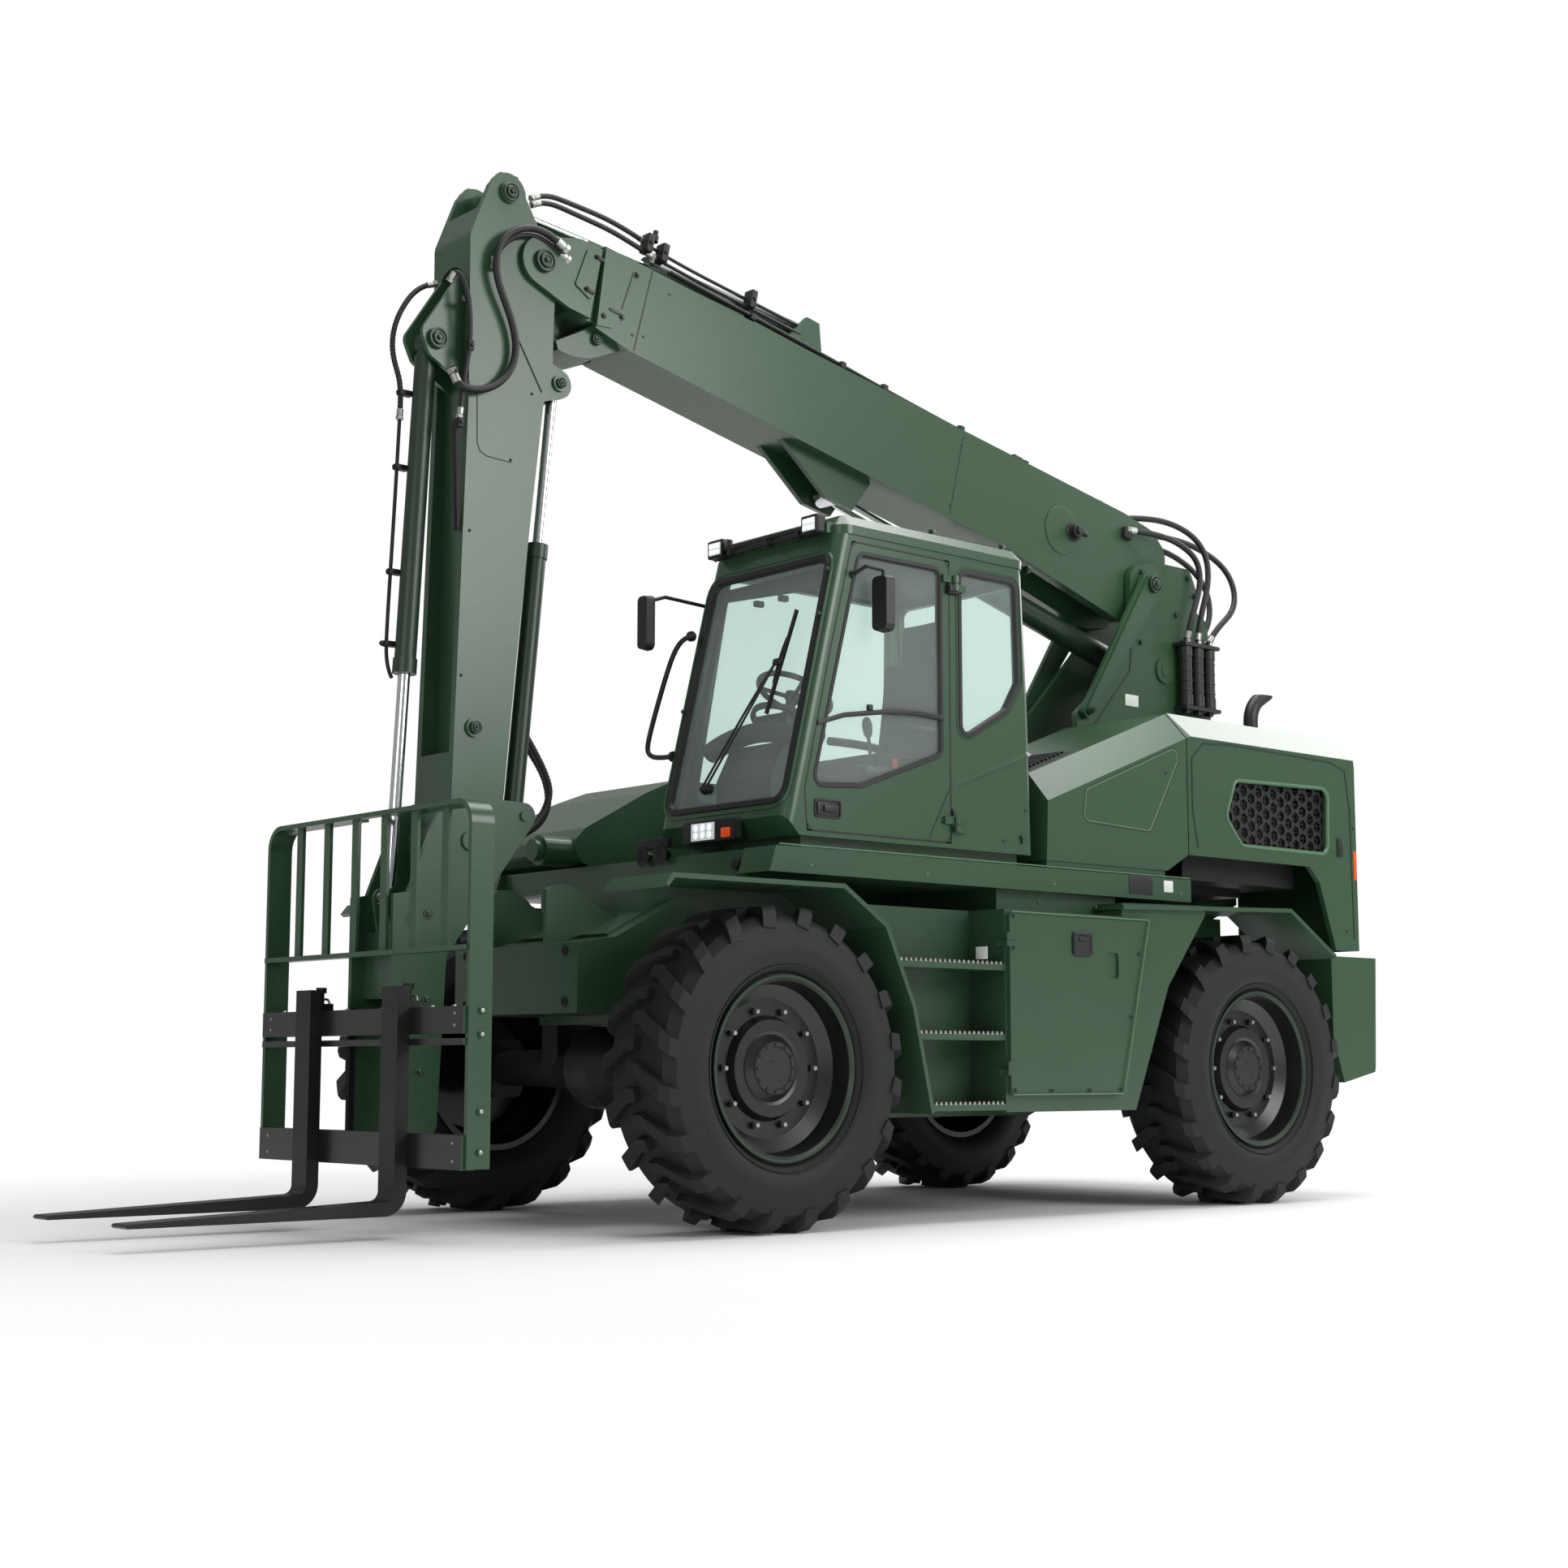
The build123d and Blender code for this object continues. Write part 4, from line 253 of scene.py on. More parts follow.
class Form:
    """Collects turned, flat and swept shapes into one piece."""

    def __init__(self):
        self.mesh = bmesh.new()

    def join(self, part, bevel=0.0):
        """Adds a mesh, with its sharp edges bevelled if asked."""
        if bevel:
            bmesh.ops.bevel(part,
                geom=[e for e in part.edges if e.is_manifold and e.calc_face_angle(0) > 0.5],
                offset=bevel, segments=2, affect="EDGES", profile=0.6, clamp_overlap=True)
        data = bpy.data.meshes.new("part")
        part.to_mesh(data)
        part.free()
        self.mesh.from_mesh(data)
        bpy.data.meshes.remove(data)

    def prism(self, points, depth, bevel=0.0):
        """Flat outline pushed along depth."""
        part = bmesh.new()
        base = part.faces.new([part.verts.new(Vector(p)) for p in points])
        pushed = bmesh.ops.extrude_face_region(part, geom=[base])
        bmesh.ops.translate(part, vec=Vector(depth),
            verts=[v for v in pushed["geom"] if isinstance(v, bmesh.types.BMVert)])
        bmesh.ops.recalc_face_normals(part, faces=part.faces)
        self.join(part, bevel)

    def block(self, centre, size, bevel=0.003, axes=(X, Y, Z)):
        """Bevelled block along three axes."""
        centre = Vector(centre)
        u, v, w = (Vector(a) * s / 2 for a, s in zip(axes, size))
        self.prism([centre - u - v - w, centre + u - v - w, centre + u + v - w,
            centre - u + v - w], w * 2, bevel)

    def turned(self, place, axis, profile, sides=28):
        """Revolved profile of (distance along the axis, radius)."""
        axis = Vector(axis).normalized()
        across = axis.orthogonal().normalized()
        other = axis.cross(across)
        rings = []
        for along, radius in profile:
            centre = Vector(place) + axis * along
            if radius < 1e-5:
                rings.append([self.mesh.verts.new(centre)])
                continue
            rings.append([self.mesh.verts.new(centre + way * radius)
                for way in around(across, other, sides)])
        for low, high in zip(rings[:-1], rings[1:]):
            for i in range(sides):
                j = (i + 1) % sides
                corners = [low[i % len(low)], low[j % len(low)], high[j % len(high)],
                    high[i % len(high)]]
                unique = list(dict.fromkeys(corners))
                if len(unique) > 2:
                    self.mesh.faces.new(unique)

    def stud(self, place, axis, radius, height, top_radius, top_height, sides=28):
        """Short turned stud with a chamfered top."""
        self.turned(place, axis, [(0, radius), (height, radius), (top_height, top_radius),
            (top_height, 0)], sides)

    def bolt(self, place, normal, radius=0.009):
        """Washer with a hexagonal head."""
        height = radius * 0.6
        self.turned(place, normal, [(-0.002, radius * 1.55), (height * 0.3, radius * 1.55),
            (height * 0.45, radius * 1.35)], 16)
        self.stud(Vector(place) + Vector(normal) * height * 0.3, normal, radius, height * 1.1,
            radius * 0.82, height * 1.4, 6)

    def rivet(self, place, normal, radius=0.007):
        """Low round head."""
        self.turned(place, normal, [(-0.001, radius), (radius * 0.3, radius * 0.92),
            (radius * 0.6, radius * 0.6), (radius * 0.7, 0)], 14)

    def pin_cap(self, place, normal, radius, proud=0.014):
        """Ringed head of a pivot pin with its keeper bolt."""
        r, p = radius, proud
        self.turned(place, normal, [(-0.004, r), (p * 0.55, r), (p * 0.75, r * 0.95),
            (p * 0.75, r * 0.82), (p * 0.2, r * 0.78), (p * 0.2, r * 0.66), (p, r * 0.62),
            (p * 1.15, r * 0.56), (p * 1.15, r * 0.42), (p * 0.8, r * 0.38), (p * 0.8, 0)], 40)
        self.stud(Vector(place) + Vector(normal) * p * 0.75, normal, r * 0.24, p * 0.8, r * 0.19,
            p, 6)

    def strip(self, points, normal, width, proud=0.0015):
        """Narrow raised line along a polyline on a face: a seam, weld or edge."""
        points = [Vector(p) for p in points]
        normal = Vector(normal).normalized()
        for start, end in zip(points[:-1], points[1:]):
            run = (end - start).normalized()
            across = run.cross(normal).normalized() * width / 2
            a, b = start - run * width * 0.3, end + run * width * 0.3
            self.prism([a - across - normal * 0.002, b - across - normal * 0.002,
                b + across - normal * 0.002, a + across - normal * 0.002],
                normal * (proud + 0.002))

    def tube(self, points, radius, sides=14, ribs=0.0, order=4, caps=True):
        """Round tube along a smooth curve through the chosen points, with ribs if asked."""
        path = smooth_path(points, order)
        if ribs:
            path = even_steps(path, RIB_PITCH)
        across = None
        rings = []
        for i, place in enumerate(path):
            run = (path[min(i + 1, len(path) - 1)] - path[max(i - 1, 0)]).normalized()
            if across is None:
                across = run.orthogonal().normalized()
            across = (across - run * across.dot(run)).normalized()
            other = run.cross(across)
            r = radius * (1 + (ribs if i % 2 else 0))
            rings.append([self.mesh.verts.new(place + way * r) for way in around(across, other,
                sides)])
        for low, high in zip(rings[:-1], rings[1:]):
            for i in range(sides):
                j = (i + 1) % sides
                self.mesh.faces.new([low[i], low[j], high[j], high[i]])
        if caps:
            self.mesh.faces.new(rings[0][::-1])
            self.mesh.faces.new(rings[-1])
        return path

    def fitting(self, place, run, radius):
        """Crimped sleeve and nut at a hose's end, pointing along run."""
        run = Vector(run).normalized()
        r = radius
        self.turned(place, run, [(-r * 2.6, r * 1.02), (-r * 2.5, r * 1.3), (0, r * 1.3),
            (0.1 * r, r * 1.05), (r * 0.6, r * 1.05), (r * 0.6, 0)], 18)
        self.turned(Vector(place) + run * r * 0.4, run, [(0, r * 1.1), (0, r * 1.55),
            (r * 1.3, r * 1.55), (r * 1.4, r * 1.3), (r * 1.4, 0)], 6)

    def done(self, name, material, body="chassis", sharp=32):
        """Makes the collected shapes one object in the material, riding on a body."""
        bmesh.ops.remove_doubles(self.mesh, verts=self.mesh.verts, dist=1e-6)
        bmesh.ops.recalc_face_normals(self.mesh, faces=self.mesh.faces)
        limit = math.radians(sharp)
        for face in self.mesh.faces:
            face.smooth = True
        for edge in self.mesh.edges:
            if len(edge.link_faces) == 2 and edge.calc_face_angle(0) > limit:
                edge.smooth = False
        data = bpy.data.meshes.new(name)
        self.mesh.to_mesh(data)
        self.mesh.free()
        data.materials.append(material)
        item = placed(name, data)
        if body:
            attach(item, body)
        return item


def blocks(name, material, body, *rows):
    """Piece of bevelled blocks alone, each row the arguments of Form.block."""
    form = Form()
    for row in rows:
        form.block(*row)
    form.done(name, material, body)


def smooth_path(points, order):
    """Points of the NURBS curve with the given control points."""
    data = bpy.data.curves.new("route", "CURVE")
    data.dimensions = "3D"
    data.resolution_u = 10
    spline = data.splines.new("NURBS")
    spline.points.add(len(points) - 1)
    for slot, place in zip(spline.points, points):
        slot.co = (*place, 1)
    spline.order_u = min(order, len(points))
    spline.use_endpoint_u = True
    item = placed("route", data)
    line = bpy.data.meshes.new_from_object(item)
    path = [v.co.copy() for v in line.vertices]
    bpy.data.objects.remove(item)
    bpy.data.meshes.remove(line)
    bpy.data.curves.remove(data)
    return path


def even_steps(path, pitch):
    """The same path with its points a fixed pitch apart."""
    out, left = [path[0]], pitch
    for start, end in zip(path[:-1], path[1:]):
        run = (end - start).length
        while run and left <= run:
            out.append(start.lerp(end, left / run))
            left += pitch
        left -= run
    out.append(path[-1])
    return out


def hose(name, points, radius, body=None, across=None, ribs=0.12):
    """Hydraulic hose with crimped ends, riding on a body, or on no body when across is given.
    """
    form = Form()
    path = form.tube(points, radius, ribs=ribs)
    item = form.done(name, hose_rubber, body)
    ends = Form()
    ends.fitting(path[0], path[0] - path[1], radius)
    ends.fitting(path[-1], path[-1] - path[-2], radius)
    caps = ends.done(name + "_ends", zinc, body)
    if across:
        for piece in (item, caps):
            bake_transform(piece)

# ---- boom: seams, bolts, side fitting
boom_side = 0.1802
seams = Form()
bolts = Form()
for side in (1, -1):
    out = Y * side
    face = boom_side * side
    for start, end in (((1.614, 0.345), (1.637, -0.135)), ((3.885, 0.335), (3.912, -0.11))):
        seams.strip([on_boom(*start, face), on_boom(*end, face)], out, 0.005)
    end_face = (boom_side + 0.0072) * side
    seams.strip([on_boom(4.0, 0.27, end_face), on_boom(4.03, 0.06, end_face)], out, 0.005)
    for along, rise in ((3.976, 0.271), (4.126, -0.02), (4.02, 0.02)):
        bolts.bolt(on_boom(along, rise, end_face), out, 0.011)
    for along, rise in ((3.759, 0.263), (3.936, -0.04), (3.87, -0.02), (1.62, 0.29),
            (1.64, -0.08)):
        bolts.rivet(on_boom(along, rise, face), out, 0.008)
    # grab slot in the reinforced end
    bolts.block(on_boom(4.06, 0.028, end_face), (0.085, 0.012, 0.014), 0.004, boom_axes)
seams.done("boom_seams", dark_seam_and_shade, "boom_base")
bolts.done("boom_bolts", green_dark, "boom_base")

port = Form()
port_at = on_boom(0.735, 0.1, boom_side)
port.turned(port_at, Y, [(-0.002, 0.142), (0.004, 0.142), (0.006, 0.139), (0.006, 0)], 64)
port.done("boom_port_cover", green, "boom_base")
port = Form()
boss = on_boom(0.644, 0.121, boom_side)
port.turned(boss, Y, [(0.0, 0.058), (0.012, 0.058), (0.016, 0.05), (0.03, 0.048), (0.03, 0.04),
    (0.05, 0.04), (0.055, 0.034), (0.055, 0)], 40)
port.stud(boss + Y * 0.05, Y, 0.026, 0.018, 0.02, 0.022, 6)
port.block(boss + Y * 0.04 - boom_fore * 0.05 + boom_rise * 0.006, (0.07, 0.03, 0.03), 0.006,
    boom_axes)
port.done("boom_port_fitting", black_steel, "boom_base")

# ---- lines on top of the boom
top_lines = Form()
clamps = Form()
for offset, rise in ((0.125, 0.392), (0.150, 0.386)):
    top_lines.tube([on_boom(along, rise + (0.012 if along > 2.6 else 0), offset)
        for along in (3.75, 3.2, 2.7, 2.2, 1.6, 1.0, 0.5, 0.22)], 0.0095, 12)
for along in (3.2, 2.55, 2.23, 1.62, 1.08, 0.42):
    clamps.block(on_boom(along, 0.39, 0.137), (0.035, 0.072, 0.036), 0.006, boom_axes)
    clamps.bolt(on_boom(along, 0.41, 0.137), boom_rise, 0.008)
for along, size in ((1.1, 0.05), (1.06, 0.04)):
    clamps.block(on_boom(along, 0.42, 0.06), (size, 0.09, 0.06), 0.008, boom_axes)
top_lines.done("boom_top_pipes", hose_rubber, "boom_base")
clamps.done("boom_top_clamps", black_steel, "boom_base")

# ---- boom head: latches and pin caps
head_side = 0.1935
latches = Form()
for side in (1, -1):
    out = Y * side
    for (a, b) in (((4.231, 0.250), (4.19, 0.246)), ((4.256, 0.066), (4.215, 0.056))):
        place = on_boom((a[0] + b[0]) / 2, (a[1] + b[1]) / 2, head_side * side)
        latches.block(place, (0.052, 0.014, 0.018), 0.005, boom_axes)
        latches.stud(on_boom(a[0], a[1], head_side * side), out, 0.011, 0.012, 0.007, 0.015, 18)
latches.done("head_latches", trim, "boom_slide")

caps = Form()
for side in (1, -1):
    caps.pin_cap(on_boom(4.516, 0.097, 0.199 * side), Y * side, 0.056)
caps.done("arm_pivot_caps", green_dark, "arm_body")
caps = Form()
for side in (1, -1):
    caps.pin_cap(on_boom(4.11, -0.128, 0.146 * side), Y * side, 0.03, 0.008)
    caps.pin_cap(boom_foot(0.252 * side), Y * side, 0.06)
caps.done("boom_pin_caps", green_dark, "boom_base")

# ---- arm: caps, seams, hoses
caps = Form()
for side in (1, -1):
    out = Y * side
    caps.pin_cap(at(0.75, 0.175 * side, 4.881), out, 0.046)
    caps.pin_cap(at(0.43, 0.162 * side, 4.008), out, 0.026, 0.01)
    caps.pin_cap(at(0.9, 0.179 * side, 2.277), out, 0.03, 0.01)
    caps.pin_cap(at(1.095, 0.1 * side, 4.104), out, 0.05)
caps.done("arm_pin_caps", green_dark, "arm_body")
marks = Form()
for side in (1, -1):
    face = 0.1552 * side
    marks.strip(route(at, (0.911, face, 3.86), (0.906, face, 3.626), (0.89, face, 3.588),
        (0.851, face, 3.57), (0.713, face, 3.563)), Y * side, 0.004)
    marks.strip([at(0.70, face, 4.2), at(0.543, face, 3.94)], Y * side, 0.006, 0.003)
    for ahead, up in ((0.717, 3.575), (0.973, 2.514), (0.94, 3.2), (0.60, 3.92)):
        marks.rivet(at(ahead, face, up), Y * side, 0.008)
marks.done("arm_seams", dark_seam_and_shade, "arm_body")

s_route = [at(x, y, z) for x, y, z in ((0.47, 0.215, 4.665), (0.56, 0.215, 4.72),
    (0.68, 0.215, 4.72), (0.79, 0.212, 4.66), (0.855, 0.21, 4.56), (0.85, 0.205, 4.43),
    (0.79, 0.2, 4.32), (0.735, 0.195, 4.21), (0.715, 0.195, 4.09), (0.755, 0.195, 3.98),
    (0.84, 0.195, 3.895), (0.95, 0.195, 3.855), (1.035, 0.185, 3.865), (1.05, 0.17, 3.92))]
hose("arm_loop_hose", s_route, 0.0165, ribs=0.14, across=("boom_slide", "arm_body",
    at(0.5, 0.2, 4.72), at(0.82, 0.2, 4.6)))
second = [p - Y * 0.036 + Vector((-0.012, 0, -0.02)) for p in s_route[1:5]]
hose("arm_loop_hose_inner", [at(0.43, 0.178, 4.63), *second, at(0.84, 0.176, 4.50)], 0.014,
    ribs=0.14, across=("boom_slide", "arm_body", at(0.5, 0.2, 4.70), at(0.82, 0.2, 4.58)))
hose("arm_front_hose", route(at, (1.045, 0.125, 4.40), (1.035, 0.15, 4.44), (1.005, 0.168, 4.40),
    (0.975, 0.172, 4.30), (0.965, 0.172, 4.18), (0.968, 0.172, 4.06), (0.985, 0.17, 3.97),
    (1.0, 0.168, 3.86), (1.012, 0.166, 3.74)), 0.012, "arm_body")
fittings = Form()
for x, y, z in ((1.05, 0.17, 3.935), (0.968, 0.176, 4.075), (1.012, 0.166, 3.70)):
    fittings.block(at(x, y, z), (0.03, 0.03, 0.05), 0.006)
    fittings.stud(at(x, y + 0.014, z), Y, 0.010, 0.01, 0.006, 0.012, 6)
for z in (4.3, 3.9):
    fittings.block(at(0.985, 0.160, z), (0.05, 0.014, 0.03), 0.004)
fittings.done("arm_hose_fittings", black_steel, "arm_body")
pipes = Form()
for x, y in ((1.0, 0.135), (1.0, 0.112)):
    pipes.tube([at(x + 0.012, y, 3.72), at(x + 0.004, y, 3.5), at(x - 0.01, y, 3.2)], 0.008, 12)
pipes.done("arm_front_pipes", hose_rubber, "arm_body")

# long line along the front link cylinder, on the far side of the arm
far_line = route(at, (1.03, -0.06, 4.42), (1.1, -0.075, 4.40), (1.18, -0.08, 4.29),
    (1.228, -0.08, 4.17), (1.236, -0.08, 4.06), (1.21, -0.075, 3.97), (1.182, -0.07, 3.89),
    (1.19, -0.07, 3.75))
hose("link_front_hose", far_line, 0.012, across=("arm_body", "link_front_barrel_body",
    at(1.05, -0.07, 4.4), at(1.2, -0.07, 4.0)))
stem = Form()
stem.tube(route(at, (1.19, -0.07, 3.74), (1.203, -0.07, 3.4), (1.222, -0.07, 3.0),
    (1.236, -0.07, 2.7), (1.24, -0.066, 2.56), (1.215, -0.05, 2.5)), 0.009, 12)
stem.done("link_front_pipe", hose_rubber, "link_front_barrel_body")
holds = Form()
for x, z in ((1.187, 3.86), (1.2, 3.5), (1.222, 3.0), (1.238, 2.66)):
    holds.block(at(x - 0.02, -0.066, z), (0.07, 0.04, 0.026), 0.005)
    holds.bolt(at(x + 0.015, -0.066, z), X, 0.009)
holds.stud(at(1.245, -0.07, 2.66), X, 0.012, 0.02, 0.008, 0.024, 14)
holds.done("link_front_clamps", black_steel, "link_front_barrel_body")

# ---- hoses over the arm cylinder
upper = [((4.58, 0.44), (4.52, 0.49), (4.42, 0.505), (4.28, 0.52), (4.14, 0.535), (4.0, 0.53),
    (3.9, 0.52)), ((4.58, 0.40), (4.52, 0.445), (4.4, 0.455), (4.25, 0.465), (4.11, 0.475),
    (3.96, 0.465), (3.86, 0.455))]
for number, (bend, side) in enumerate(zip(upper, (0.085, 0.104))):
    hose(f"cylinder_hose_{number}", [on_boom(a, r, side) for a, r in bend], 0.0125,
        across=("arm_body", "boom_slide", on_boom(4.56, 0.45, 0.1), on_boom(4.1, 0.5, 0.1)))
    low = Form()
    low.tube(route(on_boom, (3.88, 0.512 - number * 0.055, side), (3.7, 0.5 - number * 0.05, side),
        (3.4, 0.505 - number * 0.05, side), (3.0, 0.515 - number * 0.05, side),
        (2.8, 0.53 - number * 0.05, side * 0.8)), 0.009, 12)
    low.done(f"cylinder_pipe_{number}", hose_rubber, "boom_slide")
clamps = Form()
for along, rise in ((3.9, 0.5), (3.8, 0.49), (3.2, 0.50)):
    clamps.block(on_boom(along, rise, 0.112), (0.04, 0.07, 0.1), 0.008, boom_axes)
    clamps.bolt(on_boom(along, rise, 0.147), Y, 0.009)
clamps.turned(on_boom(3.86, 0.53, 0.112), boom_rise, [(0, 0.02), (0.03, 0.02), (0.035, 0.014),
    (0.06, 0.014), (0.06, 0)], 16)
clamps.done("cylinder_clamps", black_steel, "boom_slide")

# ---- outline helpers
def rounded(corners, radius):
    """Closed 2-D outline with its corners rounded by arcs."""
    out = []
    for i, corner in enumerate(corners):
        here = Vector(corner)
        back = (Vector(corners[i - 1]) - here)
        fore = (Vector(corners[(i + 1) % len(corners)]) - here)
        half = back.angle(fore) / 2
        cut = min(radius / math.tan(half), back.length * 0.48, fore.length * 0.48)
        r = cut * math.tan(half)
        centre = here + (back.normalized() + fore.normalized()).normalized() * (r / math.sin(half))
        a, b = here + back.normalized() * cut - centre, here + fore.normalized() * cut - centre
        turn = a.angle_signed(b)
        for k in range(ARC_STEPS + 1):
            angle = -turn * k / ARC_STEPS
            out.append(centre + Vector((a.x * math.cos(angle) - a.y * math.sin(angle),
                a.x * math.sin(angle) + a.y * math.cos(angle))))
    return out


def grown(corners, amount):
    """The outline with every side moved out by amount."""
    area = sum(a[0] * b[1] - b[0] * a[1] for a, b in zip(corners, corners[1:] + corners[:1]))
    sign = 1 if area > 0 else -1
    out = []
    for i, corner in enumerate(corners):
        here = Vector(corner)
        back = (here - Vector(corners[i - 1])).normalized()
        fore = (Vector(corners[(i + 1) % len(corners)]) - here).normalized()
        n1, n2 = Vector((back.y, -back.x)) * sign, Vector((fore.y, -fore.x)) * sign
        out.append(here + (n1 + n2) * amount / (1 + n1.dot(n2)))
    return out


def ring(form, corners, radius, inner, outer, place, low, high):
    """Flat frame round an outline, from inner to outer, its faces low and high off the surface."""
    lift = 0.25 * (outer - inner)
    loops = [[form.mesh.verts.new(place(*p, height)) for p in rounded(grown(corners, amount),
        max(radius + amount, 0.008))] for amount, height in ((inner, low), (inner + lift, high),
        (outer - lift, high), (outer, low))]
    for first, second in zip(loops, loops[1:] + loops[:1]):
        for i in range(len(first)):
            j = (i + 1) % len(first)
            form.mesh.faces.new([first[i], first[j], second[j], second[i]])


def on_left(ahead, up, out=0.0):
    """Place on the left face of the cab and the hoods."""
    return at(ahead, CAB_SIDE + out, up)


SCREEN_SLOPE = 0.2506
front_run = Vector((-SCREEN_SLOPE, 0, 1)).normalized()
front_out = Vector((1, 0, SCREEN_SLOPE)).normalized()


def cab_front(side, up, out=0.0):
    """Place on the sloping windscreen."""
    return at(-0.096 - SCREEN_SLOPE * (up - 1.863), side, up) + front_out * out

# ---- cab: seals, rails, handle
door_window = [(-0.262, 2.010), (-0.572, 2.030), (-1.105, 2.225), (-1.105, 3.140), (-0.560, 3.140),
    (-0.420, 2.610)]
quarter_window = [(-1.240, 2.310), (-1.240, 3.150), (-1.640, 3.150), (-1.655, 2.640),
    (-1.560, 2.490)]
screen = [(0.322, 1.945), (1.148, 1.945), (1.148, 3.105), (0.322, 3.105)]
seals = Form()
ring(seals, quarter_window, 0.045, -0.016, 0.022, on_left, -0.006, 0.006)
ring(seals, screen, 0.06, -0.014, 0.032, cab_front, -0.012, 0.007)
seals.done("cab_window_seals", trim)
edge = Form()
ring(edge, quarter_window, 0.045, 0.024, 0.031, on_left, -0.002, 0.004)
ring(edge, screen, 0.06, 0.034, 0.05, cab_front, -0.004, 0.005)
edge.done("cab_window_rims", green)
seals = Form()
ring(seals, door_window, 0.045, -0.014, 0.016, on_left, -0.006, 0.005)
rail = [(-0.29, 2.30), (-0.46, 2.355), (-0.73, 2.398), (-0.94, 2.412), (-1.118, 2.405)]
seals.prism([on_left(x, z + 0.012, -0.01) for x, z in rail] + [on_left(x, z - 0.012, -0.01) for x,
    z in rail[::-1]], Y * 0.018, 0.003)
seals.block(on_left(-0.62, 2.405, 0.006), (0.03, 0.02, 0.03), 0.006)
seals.done("door_window_seal", trim, "cab_side_door")

door_line = [(-0.218, 1.990), (-0.232, 1.805), (-1.160, 1.805), (-1.160, 3.185), (-0.520, 3.185),
    (-0.370, 2.620)]
gap = Form()
ring(gap, door_line, 0.05, -0.002, 0.012, on_left, -0.006, 0.0015)
gap.done("door_gap_seal", trim)
handle = Form()
recess = [(-0.275, 1.868), (-0.432, 1.868), (-0.432, 1.944), (-0.275, 1.944)]
ring(handle, recess, 0.012, -0.006, 0.007, on_left, -0.002, 0.007)
handle.block(on_left(-0.3535, 1.906, 0.0), (0.16, 0.004, 0.078), 0.001)
handle.block(on_left(-0.372, 1.908, 0.006), (0.09, 0.012, 0.032), 0.005)
handle.block(on_left(-0.30, 1.906, 0.005), (0.03, 0.01, 0.06), 0.004)
handle.done("door_handle", trim, "cab_side_door")

# fold of the door's lower rear corner, drawn as a dark line of painted shade, and the crease of
# the quarter panel
fold = Form()
fold.strip([on_left(-1.155, 2.06), on_left(-1.015, 1.815)], Y, 0.004, 0.002)
fold.rivet(on_left(-1.10, 1.90), Y, 0.006)
fold.done("door_fold_shade", dark_seam_and_shade, "cab_side_door")
crease = Form()
ridge = [(-1.19, 2.105), (-1.70, 2.295), (-1.745, 2.288), (-1.70, 2.262), (-1.19, 2.078)]
top = [on_left(x, z, 0.0005) for x, z in ridge]
crown = [on_left(-1.20, 2.084, 0.016), on_left(-1.705, 2.268, 0.016)]
points = [crease.mesh.verts.new(p) for p in top + crown]
for face in ((0, 1, 6, 5), (1, 2, 6), (2, 3, 6), (3, 4, 5, 6), (4, 0, 5)):
    crease.mesh.faces.new([points[i] for i in face])
crease.done("quarter_crease", green, "chassis", sharp=12)

hardware = Form()
for x, z in ((-1.698, 1.997), (-1.535, 1.835), (-1.18, 1.955)):
    hardware.rivet(on_left(x, z), Y, 0.010)
for y, z in ((1.172, 2.82), (1.172, 3.04), (0.29, 2.45)):
    hardware.turned(cab_front(y, z), front_out, [(0, 0.013), (0.012, 0.013), (0.02, 0.009),
        (0.022, 0)], 18)
hardware.block(on_left(-1.664, 1.862, 0.008), (0.03, 0.016, 0.012), 0.004)
hardware.block(on_left(-1.664, 1.845, 0.006), (0.012, 0.012, 0.034), 0.004)
for x in (-1.12, -1.62):
    hardware.turned(at(x, 1.13, 3.318), Z, [(-0.01, 0.012), (0.02, 0.012), (0.02, 0.017),
        (0.034, 0.017), (0.038, 0.01), (0.038, 0)], 14)
hardware.stud(at(-1.755, 1.17, 3.24), -X, 0.02, 0.02, 0.012, 0.028, 16)
hardware.done("cab_hardware", green_dark)
blocks("door_catches", trim, "chassis", (on_left(-1.178, 3.05, 0.012), (0.075, 0.024, 0.05),
    0.006), (on_left(-1.158, 3.05, 0.026), (0.03, 0.012, 0.034), 0.004),
    (on_left(-1.178, 1.95, 0.006), (0.02, 0.014, 0.03), 0.004))

# ---- cab: roof bar, lamps, grab rail
bar = Form()
for x, z in ((-0.375, 3.262), (-0.392, 3.238)):
    bar.tube([at(x, 0.42, z), at(x, 0.6, z + 0.004), at(x, 0.85, z + 0.004), at(x, 1.02, z)],
        0.011, 12)
for y in (0.47, 0.74, 0.97):
    bar.block(at(-0.39, y, 3.25), (0.05, 0.03, 0.05), 0.008)
bar.stud(at(-0.375, 0.47, 3.27), Z, 0.014, 0.03, 0.008, 0.034, 14)
bar.done("roof_bar", trim)
glass_face, bezel, spots = Form(), Form(), Form()
for y in (0.375, 1.07):
    bezel.block(at(-0.361, y, 3.27), (0.008, 0.112, 0.086), 0.01)
    glass_face.block(at(-0.356, y, 3.27), (0.006, 0.088, 0.062), 0.006)
    for column in (-0.027, 0, 0.027):
        for row in (-0.015, 0.015):
            spots.turned(at(-0.354, y + column, 3.27 + row), X, [(0, 0.0125), (0.004, 0.0115),
                (0.005, 0.006), (0.003, 0)], 16)
bezel.block(at(-0.0595, 0.70, 1.822), (0.008, 0.372, 0.1), 0.02)
glass_face.block(at(-0.0545, 0.66, 1.821), (0.006, 0.17, 0.082), 0.012)
for column in (-0.055, -0.005, 0.045):
    for row in (-0.018, 0.018):
        spots.turned(at(-0.0525, 0.665 + column, 1.822 + row), X, [(0, 0.017), (0.004, 0.0155),
            (0.005, 0.007), (0.003, 0)], 16)
bezel.done("lamp_bezels", trim)
glass_face.done("lamp_glasses", lens)
